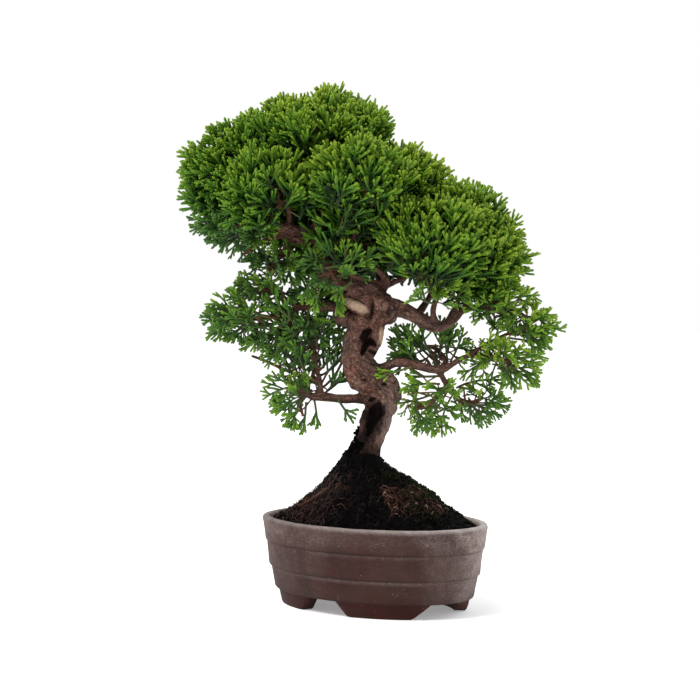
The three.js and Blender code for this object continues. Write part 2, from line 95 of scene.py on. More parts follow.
# [u, v, y, r] along each limb, thick to thin
LIMBS = {
    "trunk": [[358,528,4,22],[362,497,3,18],[364,470,2,14],[368.5,447,0,12.6],[374,428,-1,14],[380,408,-2,15.5],[382,394,-3,17.5],[372,382,-3,18],[361,369,-2,17.5],[356,354,0,14.5],[359,340,2,14.5],[367,328,3,15],[371,315,2,19],[368,303,0,22],[352,291,-2,17],[338,280,0,14],[327,266,4,12],[319,248,6,11],[319,230,6,9.5],[324,212,6,7.5],[333,194,4,6],[345,181,2,5],[355,170,2,4],[352,150,4,3],[340,128,6,2],[333,112,6,1.5]],
    "b1": [[374,303,0,11],[393,307,-4,9],[405,311,-7,8],[416,317,-9,7.5],[428,324,-10,6.5],[440,327,-10,6],[452,322,-8,4.4],[461,312,-4,3.2],[470,298,0,2.6],[482,280,4,2.2],[492,262,6,2.2],[498,248,6,1.5]],
    "b1a": [[436,325,-10,4.4],[433,310,-14,3.2],[437,296,-20,2.8],[440,280,-26,2.4],[436,262,-32,2],[432,245,-36,1.5]],
    "b1b": [[449,322,-9,4],[458,300,0,3],[462,280,4,2.6],[464,258,6,2.2],[464,238,6,1.8],[462,222,6,1.4]],
    "b1c": [[461,312,-4,3.4],[478,306,-4,2.6],[495,304,-4,2.2],[512,308,-4,1.8],[528,318,-6,1.4]],
    "b2": [[368,374,0,8],[380,369,-2,6],[390,363,-4,5],[400,361.5,-6,4.8],[416,365,-8,4.5],[430,369,-9,4.3],[441,370,-9,4],[450,366,-8,3.5],[466,357,-4,3],[482,355,0,2.4],[498,358,2,1.9],[512,362,2,1.4]],
    "b2a": [[438,369,-9,3.4],[447,385,-10,2.8],[457,398,-10,2.3],[464,407,-8,1.8]],
    "b2b": [[447,385,-10,2.4],[436,398,-12,1.8],[426,407,-12,1.6],[410,407,-12,1.4]],
    "b2c": [[466,357,-4,2.6],[485,345,-4,2],[505,335,-6,1.8],[522,328,-8,1.4]],
    "b2d": [[457,398,-10,2],[470,402,0,1.7],[482,398,6,1.4]],
    "b3": [[374,394,-2,9],[360,398,-4,6],[346,398.5,-6,5],[330,396,-7,4.6],[313,396,-8,4.2],[301,391,-8,3.6],[293,384,-7,3],[288,375,-5,2]],
    "b3a": [[321,396,-7,3.8],[320,382,-3,2.8],[316,366,4,2.5],[314,345,10,2.2],[318,325,14,1.8],[322,310,16,1.4]],
    "b3b": [[301,391,-8,2.8],[300,404,-10,2],[303,416,-11,1.4]],
    "b3c": [[320,382,-3,2.4],[302,376,0,2],[283,369,2,1.8],[268,362,3,1.6],[252,356,3,1.4]],
    "b4": [[352,298,4,7],[336,306,8,5],[318,308,10,4.2],[304,307,10,3.6],[294,304,10,3],[281,296,8,2.6],[268,291,6,2],[255,288,4,1.4]],
    "b4a": [[304,307,10,2.8],[285,314,8,2.2],[265,318,5,2],[248,320,3,1.7],[232,322,1,1.4]],
    "b5": [[320,231,6,8],[306,231,4,6.5],[294,230,2,6],[282,227,0,5],[270,222,-2,3.8],[256,214,-4,3],[240,206,-6,2.4],[225,198,-7,1.8],[212,190,-7,1.4]],
    "b5a": [[290,229,2,4],[289,214,2,3],[286,200,0,2.6],[280,186,-6,2.2],[272,174,-14,1.8],[264,166,-20,1.4]],
    "b5b": [[256,214,-4,2.4],[246,222,0,1.8],[234,228,3,1.6],[222,230,4,1.4]],
    "b6": [[320,248,6,8],[304,242,4,6],[292,238,3,5],[281,235,2,4.2],[268,240,4,3.2],[255,246,6,2.4],[244,254,7,1.6]],
    "b6a": [[292,238,3,3.4],[284,250,8,2.6],[276,262,12,2],[268,272,14,1.4]],
    "b7": [[345,181,2,4.4],[362,178,4,3.6],[380,178,6,3.2],[398,180,8,2.8],[415,182,10,2.2],[430,186,10,1.5]],
    "b8": [[333,194,4,4.6],[320,176,2,3.5],[304,160,2,3],[288,148,2,2.4],[272,140,2,1.6]],
    "b9": [[345,181,2,3.4],[352,172,-16,2.6],[358,165,-32,2.2],[362,158,-42,1.5]],
    "b10": [[382,292,0,6],[386,279,-4,4.5],[378,270,-10,3.2],[369,262,-14,2.6],[361,254,-18,2],[355,240,-20,1.6],[352,226,-20,1.4]],
    "b10a": [[386,284,-3,3.4],[371,281,-10,2.6],[357,277,-15,2.2],[343,272,-18,1.8],[330,270,-19,1.4]],
    "b10b": [[386,286,0,3.8],[398,281,4,3],[411,272,10,2.6],[425,262,18,2.2],[438,250,28,1.8],[446,238,38,1.4]],
    "b10c": [[384,284,2,4.4],[376,268,16,3.4],[368,250,28,2.8],[360,235,36,2.2],[356,222,42,1.6]],
    "b11": [[326,262,8,8],[322,250,22,5],[315,238,36,4],[300,222,46,3],[282,206,52,2.4],[266,194,54,1.8]],
    "b12": [[322,216,8,6],[328,204,22,4],[336,192,38,3.4],[342,178,52,2.6],[346,165,60,1.8]],
    "b13": [[412,315,-6,5],[420,312,8,4],[430,296,24,3.4],[440,272,40,2.8],[446,250,52,2.2],[446,232,58,1.5]],
    "b14": [[441,370,-8,3.6],[446,362,6,3],[440,352,18,2.4],[430,346,26,1.8]],
    "ridge": [[368,358,-8,5],[372,349,-10,5.5],[376.5,340,-11,6],[378,330,-9,7],[379,320,-6,7.5]],
    "r1": [[360,474,-4,9],[343,478,-6,5],[328,489,-6,3],[311,500,-8,2.2],[296,508,-10,1.6]],
    "r2": [[362,486,-4,9],[366,504,-26,5],[376,520,-50,3],[384,530,-68,2]],
    "r3": [[372,478,4,9],[392,497,8,6],[416,512,10,4],[440,524,10,2.4]],
    "r4": [[362,490,8,9],[350,506,30,5.5],[342,518,52,3.4],[336,528,68,2]],
    "r5": [[366,492,6,9],[384,508,32,5.5],[398,520,54,3.4],[410,530,66,2]],
}

# name: u, v, y, half width, half depth, half height, lean, look
PADS = {
    "foliage_apex": [324, 119, 5, 66, 58, 38, 0, "crown"],
    "foliage_apex_left": [258, 139, 4, 50, 48, 37, -14, "crown"],
    "foliage_left_tip": [213, 183, -4, 42, 42, 42, 0, "crown"],
    "foliage_front_centre": [357, 160, -42, 54, 36, 33, 6, "crown"],
    "foliage_front_left": [266, 180, -40, 48, 34, 38, 0, "crown"],
    "foliage_left_low": [236, 226, 4, 48, 46, 33, 0, "fringe"],
    "foliage_right_shoulder": [414, 176, 12, 42, 48, 31, 26, "crown"],
    "foliage_right_upper": [464, 214, 6, 48, 50, 34, 26, "crown"],
    "foliage_right_front": [430, 230, -40, 52, 38, 38, 0, "crown"],
    "foliage_right_outer": [492, 256, 0, 38, 46, 44, 0, "crown"],
    "foliage_centre": [352, 212, -10, 50, 34, 36, 0, "mid"],
    "foliage_front_low": [346, 262, -36, 46, 24, 30, 8, "loose"],
    "foliage_right_under": [428, 284, -26, 42, 30, 26, 0, "fringe"],
    "foliage_left_inner": [288, 262, 10, 48, 40, 28, 0, "fringe"],
    "foliage_left_hang": [262, 294, 6, 40, 30, 20, -6, "fringe"],
    "foliage_left_under": [322, 294, 26, 36, 30, 20, 0, "fringe"],
    "foliage_right_lower": [500, 304, 2, 38, 36, 27, 0, "fringe"],
    "foliage_right_tip": [532, 328, -8, 34, 28, 25, 0, "fringe"],
    "foliage_left_tuft": [240, 322, 0, 40, 34, 27, 0, "fringe"],
    "foliage_left_mid": [298, 336, 20, 42, 38, 40, 0, "loose"],
    "foliage_left_foot": [298, 398, -6, 30, 28, 30, 0, "loose"],
    "foliage_right_low": [504, 364, 0, 42, 36, 30, 0, "fringe"],
    "foliage_right_mid": [430, 340, 30, 46, 32, 30, 0, "loose"],
    "foliage_right_drop": [430, 408, -12, 40, 30, 28, 0, "loose"],
    "foliage_right_hem": [484, 400, 8, 35, 30, 28, 0, "loose"],
    "foliage_back_top": [338, 160, 58, 62, 40, 46, 0, "crown"],
    "foliage_back_left": [256, 194, 50, 52, 40, 44, 0, "crown"],
    "foliage_back_right": [440, 224, 60, 58, 42, 50, 10, "crown"],
    "foliage_back_low": [356, 246, 52, 52, 36, 40, 0, "mid"],
}


# ------------------------------------------------------------------ noise
def _hash(x, y, z, seed):
    h = (x * 374761393 + y * 668265263 + z * 1103515245 + seed * 1274126177) & 0xFFFFFFFF
    h = ((h ^ (h >> 13)) * 1274126177) & 0xFFFFFFFF
    h = ((h ^ (h >> 15)) * 2246822519) & 0xFFFFFFFF
    return ((h ^ (h >> 16)) & 0xFFFFFF) / float(0xFFFFFF)


def noise(p, seed=0):
    """Smooth value noise from 0 to 1 at points p."""
    p = np.asarray(p, float)
    i = np.floor(p).astype(np.int64)
    f = p - i
    f = f * f * (3 - 2 * f)
    out = 0
    for dx in (0, 1):
        wx = f[:, 0] if dx else 1 - f[:, 0]
        for dy in (0, 1):
            wy = f[:, 1] if dy else 1 - f[:, 1]
            for dz in (0, 1):
                wz = f[:, 2] if dz else 1 - f[:, 2]
                out = out + wx * wy * wz * _hash(i[:, 0] + dx, i[:, 1] + dy, i[:, 2] + dz, seed)
    return out


def fbm(p, seed=0, octaves=3, gain=0.5):
    out, amp, total = 0, 1.0, 0.0
    for k in range(octaves):
        out = out + amp * noise(p * 2.03**k, seed + 17 * k)
        total += amp
        amp *= gain
    return out / total


def ridged(p, seed=0, octaves=2):
    out, amp, total = 0, 1.0, 0.0
    for k in range(octaves):
        out = out + amp * (1 - np.abs(2 * noise(p * 2.07**k, seed + 23 * k) - 1))
        total += amp
        amp *= 0.5
    return out / total


# ------------------------------------------------------------------ mesh helpers
def make_mesh(name, verts, quads=None, tris=None, uv=None, attrs=None, smooth=True, others=()):
    """A mesh from arrays. verts in metres; uv is per vertex."""
    me = bpy.data.meshes.new(name)
    me.vertices.add(len(verts))
    me.vertices.foreach_set("co", np.ascontiguousarray(verts, np.float32).ravel())
    idx, sizes = [], []
    for block in (quads, tris, *others):
        if block is not None and len(block):
            block = np.asarray(block, np.int32)
            idx.append(block.ravel())
            sizes.append(np.full(len(block), block.shape[1], np.int32))
    idx = np.concatenate(idx)
    sizes = np.concatenate(sizes)
    starts = np.concatenate([[0], np.cumsum(sizes)[:-1]]).astype(np.int32)
    me.loops.add(len(idx))
    me.loops.foreach_set("vertex_index", idx)
    me.polygons.add(len(sizes))
    me.polygons.foreach_set("loop_start", starts)
    me.polygons.foreach_set("use_smooth", np.full(len(sizes), smooth, bool))
    me.update(calc_edges=True)
    if uv is not None:
        layer = me.uv_layers.new(name="OFBake")
        layer.data.foreach_set("uv", np.ascontiguousarray(uv[idx], np.float32).ravel())
    for key, values in (attrs or {}).items():
        a = me.attributes.new(key, "FLOAT", "POINT")
        a.data.foreach_set("value", np.ascontiguousarray(values, np.float32))
    me.validate()
    return me


def add_object(name, mesh, material, nodes=()):
    ob = bpy.data.objects.new(name, mesh)
    bpy.context.scene.collection.objects.link(ob)
    ob.data.materials.append(material)
    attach(ob, "root")
    if nodes:
        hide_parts(*nodes)
    return ob


def rings_to_quads(n, m, closed=True, start=0):
    """Quads of n rings with m points each."""
    i = np.arange(n - 1)[:, None]
    j = np.arange(m if closed else m - 1)[None, :]
    a = i * m + j
    b = i * m + (j + 1) % m
    return (np.stack([a, b, b + m, a + m], -1).reshape(-1, 4) + start).astype(np.int32)


def frames(pts):
    """Tangents and two side directions along a polyline, without twist."""
    pts = np.asarray(pts, float)
    d = np.gradient(pts, axis=0)
    d /= np.linalg.norm(d, axis=1, keepdims=True) + 1e-12
    n = np.cross(d[0], [0.31, -0.2, 0.93])
    if np.linalg.norm(n) < 1e-3:
        n = np.cross(d[0], [0.9, 0.3, 0.1])
    n /= np.linalg.norm(n)
    N = [n]
    for k in range(1, len(pts)):
        n = N[-1] - d[k] * np.dot(N[-1], d[k])
        n /= np.linalg.norm(n) + 1e-12
        N.append(n)
    N = np.array(N)
    return d, N, np.cross(d, N)


def spline(pts, step):
    """Centripetal-like smooth curve through rows of any width (first three columns are the place)."""
    pts = np.asarray(pts, float)
    seg = np.sqrt(np.linalg.norm(np.diff(pts[:, :3], axis=0), axis=1)) + 1e-9
    t = np.concatenate([[0], np.cumsum(seg)])
    P = np.vstack([2 * pts[0] - pts[1], pts, 2 * pts[-1] - pts[-2]])
    T = np.concatenate([[t[0] - seg[0]], t, [t[-1] + seg[-1]]])
    out = []
    for k in range(len(pts) - 1):
        length = np.linalg.norm(pts[k + 1, :3] - pts[k, :3])
        m = max(2, int(math.ceil(length / step)))
        last = k == len(pts) - 2
        tt = np.linspace(T[k + 1], T[k + 2], m + 1)[: None if last else -1]
        t0, t1, t2, t3 = T[k], T[k + 1], T[k + 2], T[k + 3]
        p0, p1, p2, p3 = P[k], P[k + 1], P[k + 2], P[k + 3]
        x = tt[:, None]
        a1 = (t1 - x) / (t1 - t0) * p0 + (x - t0) / (t1 - t0) * p1
        a2 = (t2 - x) / (t2 - t1) * p1 + (x - t1) / (t2 - t1) * p2
        a3 = (t3 - x) / (t3 - t2) * p2 + (x - t2) / (t3 - t2) * p3
        b1 = (t2 - x) / (t2 - t0) * a1 + (x - t0) / (t2 - t0) * a2
        b2 = (t3 - x) / (t3 - t1) * a2 + (x - t1) / (t3 - t1) * a3
        out.append((t2 - x) / (t2 - t1) * b1 + (x - t1) / (t2 - t1) * b2)
    return np.vstack(out)


class Build:
    """Collects tubes into one mesh."""

    def __init__(self):
        self.v, self.q, self.t, self.uv, self.n = [], [], [], [], 0

    def tube(self, pts, radii, sides, uv=None, wobble=0.0, spin=0.0):
        pts = np.asarray(pts, float)
        d, N, B = frames(pts)
        a = np.arange(sides) / sides * 2 * math.pi + spin
        r = np.asarray(radii, float)[:, None]
        if wobble:
            r = r * (1 + wobble * (rng.random((len(pts), sides)) - 0.5))
        ring = pts[:, None, :] + N[:, None, :] * (np.cos(a) * r)[..., None] + B[:, None, :] * (np.sin(a) * r)[..., None]
        base = self.n
        self.v.append(ring.reshape(-1, 3))
        self.q.append(rings_to_quads(len(pts), sides, True, base))
        k = len(pts) * sides
        self.v.append(np.array([pts[0] - d[0] * r[0, 0] * 0.4, pts[-1] + d[-1] * r[-1, 0] * 0.6]))
        j = np.arange(sides)
        self.t.append(np.stack([np.full(sides, base + k), base + (j + 1) % sides, base + j], -1))
        e = base + (len(pts) - 1) * sides
        self.t.append(np.stack([np.full(sides, base + k + 1), e + j, e + (j + 1) % sides], -1))
        if uv is not None:
            u0, u1, v0, dv = uv
            uu = np.repeat(np.linspace(u0, u1, len(pts)), sides)
            vv = np.tile(v0 + dv * np.abs(np.arange(sides) / sides * 2 - 1), len(pts))
            self.uv.append(np.stack([uu, vv], -1))
            self.uv.append(np.array([[u0, v0 + dv / 2], [u1, v0 + dv / 2]]))
        self.n += k + 2

    def mesh(self, name, to_m=True, **kw):
        v = np.vstack(self.v)
        uv = np.vstack(self.uv) if self.uv else None
        return make_mesh(name, metres(v) if to_m else v, np.vstack(self.q), np.vstack(self.t), uv=uv, **kw)


# ------------------------------------------------------------------ node-tree helper
class Nodes:
    def __init__(self, name):
        self.mat = bpy.data.materials.new(name)
        self.mat.use_nodes = True
        self.t = self.mat.node_tree
        self.t.nodes.clear()
        self.out = self.t.nodes.new("ShaderNodeOutputMaterial")
        self.bsdf = self.t.nodes.new("ShaderNodeBsdfPrincipled")
        self.t.links.new(self.bsdf.outputs[0], self.out.inputs[0])
        self.x = 0

    def new(self, kind, **props):
        n = self.t.nodes.new(kind)
        self.x -= 40
        n.location = (self.x, 0)
        for k, v in props.items():
            setattr(n, k, v)
        return n

    def link(self, a, b):
        self.t.links.new(a, b)

    def put(self, socket, value):
        if isinstance(value, bpy.types.NodeSocket):
            self.link(value, socket)
        else:
            socket.default_value = value

    def coords(self, scale=(1, 1, 1)):
        tc = self.new("ShaderNodeTexCoord")
        m = self.new("ShaderNodeMapping")
        m.inputs["Scale"].default_value = scale
        self.link(tc.outputs["Object"], m.inputs["Vector"])
        return m.outputs[0]

    def noise(self, vec, scale, detail=4, rough=0.55, distortion=0.0):
        n = self.new("ShaderNodeTexNoise")
        self.link(vec, n.inputs["Vector"])
        n.inputs["Scale"].default_value = scale
        n.inputs["Detail"].default_value = detail
        n.inputs["Roughness"].default_value = rough
        n.inputs["Distortion"].default_value = distortion
        return n.outputs[0]

    def voronoi(self, vec, scale, feature="F1"):
        n = self.new("ShaderNodeTexVoronoi", feature=feature)
        self.link(vec, n.inputs["Vector"])
        n.inputs["Scale"].default_value = scale
        return n.outputs["Distance"]

    def ramp(self, fac, stops, kind="LINEAR"):
        n = self.new("ShaderNodeValToRGB")
        n.color_ramp.interpolation = kind
        e = n.color_ramp.elements
        while len(e) > 1:
            e.remove(e[-1])
        e[0].position, e[0].color = stops[0][0], colour(stops[0][1])
        for p, c in stops[1:]:
            s = e.new(p)
            s.color = colour(c)
        self.link(fac, n.inputs[0])
        return n.outputs[0]

    def mix(self, fac, a, b, blend="MIX"):
        n = self.new("ShaderNodeMix", data_type="RGBA", blend_type=blend)
        self.put(n.inputs["Factor"], fac)
        for s, v in ((n.inputs[6], a), (n.inputs[7], b)):
            if isinstance(v, bpy.types.NodeSocket):
                self.link(v, s)
            else:
                s.default_value = colour(v)
        return n.outputs[2]

    def math(self, op, a, b=None, c=None, clamp=False):
        n = self.new("ShaderNodeMath", operation=op, use_clamp=clamp)
        self.put(n.inputs[0], a)
        if b is not None:
            self.put(n.inputs[1], b)
        if c is not None:
            self.put(n.inputs[2], c)
        return n.outputs[0]

    def attr(self, name):
        n = self.new("ShaderNodeAttribute", attribute_name=name)
        return n.outputs["Fac"]

    def bump(self, height, strength, distance):
        n = self.new("ShaderNodeBump")
        n.inputs["Strength"].default_value = strength
        n.inputs["Distance"].default_value = distance
        self.link(height, n.inputs["Height"])
        self.link(n.outputs[0], self.bsdf.inputs["Normal"])
        return n


def colour(c):
    """An sRGB triple in 0..255, or a linear one in 0..1 given as floats, to linear RGBA."""
    if isinstance(c, (int, float)):
        return (c, c, c, 1.0)
    if all(isinstance(x, int) for x in c):
        f = [x / 255 for x in c]
        f = [x / 12.92 if x <= 0.04045 else ((x + 0.055) / 1.055) ** 2.4 for x in f]
        return (*f, 1.0)
    return (*c[:3], 1.0)


# ------------------------------------------------------------------ materials
def foliage_material():
    m = Nodes("scale_leaves")
    uvn = m.new("ShaderNodeUVMap", uv_map="OFBake")
    sep = m.new("ShaderNodeSeparateXYZ")
    m.link(uvn.outputs[0], sep.inputs[0])
    u, v = sep.outputs[0], sep.outputs[1]
    tip = m.ramp(v, [(0.0, (142, 164, 44)), (0.3, (110, 142, 30)), (0.55, (80, 120, 24)), (0.8, (64, 106, 28)), (1.0, (60, 98, 40))])
    young = m.ramp(v, [(0.0, (86, 126, 22)), (0.3, (62, 106, 17)), (0.55, (46, 90, 16)), (0.8, (36, 74, 22)), (1.0, (32, 62, 32))])
    body = m.ramp(v, [(0.0, (52, 92, 15)), (0.35, (38, 76, 12)), (0.65, (28, 60, 12)), (1.0, (24, 48, 22))])
    deep = m.ramp(v, [(0.0, (28, 52, 12)), (0.6, (18, 42, 12)), (1.0, (26, 44, 20))])
    col = m.mix(m.ramp(u, [(0.0, 0.0), (0.38, 0.0), (0.62, 1.0), (1.0, 1.0)]), body, young)
    col = m.mix(m.ramp(u, [(0.0, 0.0), (0.6, 0.0), (0.84, 0.55), (0.96, 1.0), (1.0, 1.0)]), col, tip)
    # older growth darker towards the base of each cord, partly painted shade inside the cushion
    col = m.mix(m.ramp(u, [(0.0, 1.0), (0.15, 1.0), (0.45, 0.0), (1.0, 0.0)]), col, deep)
    # overlapping scales: painted shade in a dark seam at each scale's edge, with a faint painted highlight just before
    # it, offset round the shoot
    around = m.math("MULTIPLY", v, 60.0)
    along = m.math("MULTIPLY", u, 13.0)
    wave = m.math("ADD", along, around)
    saw = m.math("FRACT", wave)
    scale_seam_shade = m.ramp(saw, [(0.0, 0.55), (0.14, 0.88), (0.5, 1.0), (0.86, 1.1), (1.0, 0.6)])
    col = m.mix(1.0, col, scale_seam_shade, "MULTIPLY")
    nz = m.new("ShaderNodeTexNoise")
    m.link(uvn.outputs[0], nz.inputs["Vector"])
    nz.inputs["Scale"].default_value = 38
    nz.inputs["Detail"].default_value = 3
    var = m.ramp(nz.outputs[0], [(0.3, 0.8), (0.7, 1.16)])
    col = m.mix(1.0, col, var, "MULTIPLY")
    m.link(col, m.bsdf.inputs["Base Color"])
    rough = m.ramp(saw, [(0.0, 0.7), (0.5, 0.5), (1.0, 0.68)])
    m.link(rough, m.bsdf.inputs["Roughness"])
    m.bsdf.inputs["Specular IOR Level"].default_value = 0.22
    return m.mat


def fan_material():
    m = Nodes("loose_scale_leaves")
    uvn = m.new("ShaderNodeUVMap", uv_map="OFBake")
    sep = m.new("ShaderNodeSeparateXYZ")
    m.link(uvn.outputs[0], sep.inputs[0])
    u, v = sep.outputs[0], sep.outputs[1]
    tip = m.ramp(v, [(0.0, (148, 176, 50)), (0.35, (108, 146, 38)), (0.6, (78, 116, 36)), (1.0, (56, 92, 46))])
    body = m.ramp(v, [(0.0, (92, 130, 30)), (0.35, (62, 102, 24)), (0.65, (44, 78, 27)), (1.0, (38, 64, 40))])
    stem = m.ramp(v, [(0.0, (92, 106, 48)), (0.4, (74, 88, 46)), (0.7, (58, 72, 46)), (1.0, (62, 66, 50))])
    bare = m.ramp(v, [(0.0, (98, 84, 52)), (0.5, (96, 66, 46)), (1.0, (84, 62, 52))])
    col = m.mix(m.ramp(u, [(0.0, 0.0), (0.52, 0.0), (0.72, 1.0), (1.0, 1.0)]), stem, body)
    col = m.mix(m.ramp(u, [(0.0, 0.0), (0.8, 0.0), (0.96, 1.0), (1.0, 1.0)]), col, tip)
    col = m.mix(m.ramp(u, [(0.0, 1.0), (0.12, 0.8), (0.4, 0.0), (1.0, 0.0)]), col, bare)
    # overlapping scales: painted shade in a dark seam at each scale's edge, with a faint painted highlight just before
    # it
    wave = m.math("ADD", m.math("MULTIPLY", u, 26.0), m.math("MULTIPLY", v, 60.0))
    saw = m.math("FRACT", wave)
    scale_seam_shade = m.ramp(saw, [(0.0, 0.6), (0.14, 0.9), (0.5, 1.0), (0.86, 1.1), (1.0, 0.66)])
    col = m.mix(1.0, col, scale_seam_shade, "MULTIPLY")
    nz = m.new("ShaderNodeTexNoise")
    m.link(uvn.outputs[0], nz.inputs["Vector"])
    nz.inputs["Scale"].default_value = 38
    nz.inputs["Detail"].default_value = 3
    col = m.mix(1.0, col, m.ramp(nz.outputs[0], [(0.3, 0.8), (0.7, 1.16)]), "MULTIPLY")
    m.link(col, m.bsdf.inputs["Base Color"])
    m.link(m.ramp(saw, [(0.0, 0.7), (0.5, 0.5), (1.0, 0.68)]), m.bsdf.inputs["Roughness"])
    m.bsdf.inputs["Specular IOR Level"].default_value = 0.22
    return m.mat


def twig_material():
    m = Nodes("young_bark")
    uvn = m.new("ShaderNodeUVMap", uv_map="OFBake")
    sep = m.new("ShaderNodeSeparateXYZ")
    m.link(uvn.outputs[0], sep.inputs[0])
    col = m.ramp(sep.outputs[0], [(0.0, (84, 58, 46)), (0.45, (96, 58, 42)), (0.75, (78, 60, 34)), (1.0, (48, 66, 26))])
    nz = m.new("ShaderNodeTexNoise")
    m.link(uvn.outputs[0], nz.inputs["Vector"])
    nz.inputs["Scale"].default_value = 60
    nz.inputs["Detail"].default_value = 4
    var = m.ramp(nz.outputs[0], [(0.3, 0.55), (0.55, 1.0), (0.75, 1.35)])
    col = m.mix(1.0, col, var, "MULTIPLY")
    m.link(col, m.bsdf.inputs["Base Color"])
    r = m.ramp(nz.outputs[0], [(0.3, 0.9), (0.7, 0.68)])
    m.link(r, m.bsdf.inputs["Roughness"])
    m.bsdf.inputs["Specular IOR Level"].default_value = 0.3
    return m.mat


def bark_material():
    m = Nodes("old_bark")
    co = m.coords()
    fl = m.new("ShaderNodeAttribute", attribute_name="flow")
    flow = fl.outputs["Vector"]
    big = m.noise(co, 60, 4, 0.6)
    fine = m.noise(flow, 1.7, 6, 0.7, 0.5)
    flake = m.noise(flow, 0.55, 6, 0.66, 1.6)
    warp = m.new("ShaderNodeVectorMath", operation="ADD")
    m.link(flow, warp.inputs[0])
    wn = m.new("ShaderNodeTexNoise")
    m.link(flow, wn.inputs["Vector"])
    wn.inputs["Scale"].default_value = 0.9
    wn.inputs["Detail"].default_value = 3
    m.link(wn.outputs[1], warp.inputs[1])
    crack = m.voronoi(warp.outputs[0], 0.24, "DISTANCE_TO_EDGE")
    crack2 = m.voronoi(warp.outputs[0], 0.8, "DISTANCE_TO_EDGE")
    part = m.ramp(m.noise(co, 130, 3, 0.5), [(0.42, 1.0), (0.6, 0.35)])
    groove_shade = m.attr("groove_shade")
    col = m.ramp(flake, [(0.28, (50, 32, 28)), (0.4, (88, 60, 52)), (0.5, (116, 86, 76)), (0.6, (140, 114, 103)), (0.74, (180, 160, 150))])
    warm = m.ramp(big, [(0.35, (255, 222, 206)), (0.5, (236, 224, 218)), (0.68, (214, 216, 218))])
    col = m.mix(0.8, col, warm, "MULTIPLY")
    col = m.mix(1.0, col, m.ramp(fine, [(0.3, 0.76), (0.5, 0.98), (0.72, 1.22)]), "MULTIPLY")
    long_ = m.new("ShaderNodeMapping")
    m.link(flow, long_.inputs["Vector"])
    long_.inputs["Scale"].default_value = (1.0, 1.0, 0.3)
    streak = m.noise(long_.outputs[0], 0.62, 5, 0.6, 0.9)
    col = m.mix(1.0, col, m.ramp(streak, [(0.32, 0.45), (0.46, 0.86), (0.58, 1.0), (0.7, 1.7)]), "MULTIPLY")
    col = m.mix(1.0, col, m.ramp(m.noise(co, 900, 3, 0.6), [(0.34, 0.62), (0.48, 1.0), (0.7, 1.18)]), "MULTIPLY")
    lines = m.math("MINIMUM", m.ramp(crack, [(0.0, 0.35), (0.04, 0.68), (0.1, 1.0)]), m.ramp(crack2, [(0.0, 0.62), (0.05, 0.86), (0.12, 1.0)]))
    lines = m.math("MAXIMUM", lines, m.math("SUBTRACT", 1.0, part))
    col = m.mix(1.0, col, lines, "MULTIPLY")
    # painted shade: grooves, knot dents and rotted hollows darkened to dark brown
    col = m.mix(m.math("MULTIPLY", groove_shade, 0.9, clamp=True), col, (34, 22, 19))
    tan = m.attr("tan")
    col = m.mix(m.math("MULTIPLY", tan, 0.5), col, m.mix(1.0, (158, 136, 124), m.math("MULTIPLY", lines, 1.0), "MULTIPLY"))
    col = m.mix(1.0, col, m.ramp(m.noise(flow, 0.22, 4, 0.6, 0.8), [(0.35, 0.62), (0.5, 1.0), (0.7, 1.3)]), "MULTIPLY")
    dead = m.attr("dead")
    pale = m.ramp(fine, [(0.3, (122, 98, 80)), (0.5, (172, 146, 122)), (0.75, (204, 186, 164))])
    col = m.mix(dead, col, pale)
    wet = m.attr("wet")
    col = m.mix(wet, col, m.mix(0.98, col, (76, 54, 49), "MULTIPLY"))
    young = m.attr("young")
    red = m.ramp(fine, [(0.3, (44, 28, 23)), (0.55, (84, 56, 44)), (0.8, (134, 104, 88))])
    col = m.mix(m.math("MULTIPLY", young, 0.75), col, red)
    m.link(col, m.bsdf.inputs["Base Color"])
    m.link(m.math("MAXIMUM", m.ramp(flake, [(0.3, 0.82), (0.7, 0.5)]), m.math("MAXIMUM", wet, groove_shade), clamp=True), m.bsdf.inputs["Roughness"])
    m.bsdf.inputs["Specular IOR Level"].default_value = 0.2
    h = m.math("ADD", m.math("MULTIPLY", fine, 0.8), m.math("MULTIPLY", flake, 1.0))
    h = m.math("ADD", h, m.math("MULTIPLY", lines, 0.7))
    m.bump(h, 0.8, 0.0007)
    return m.mat


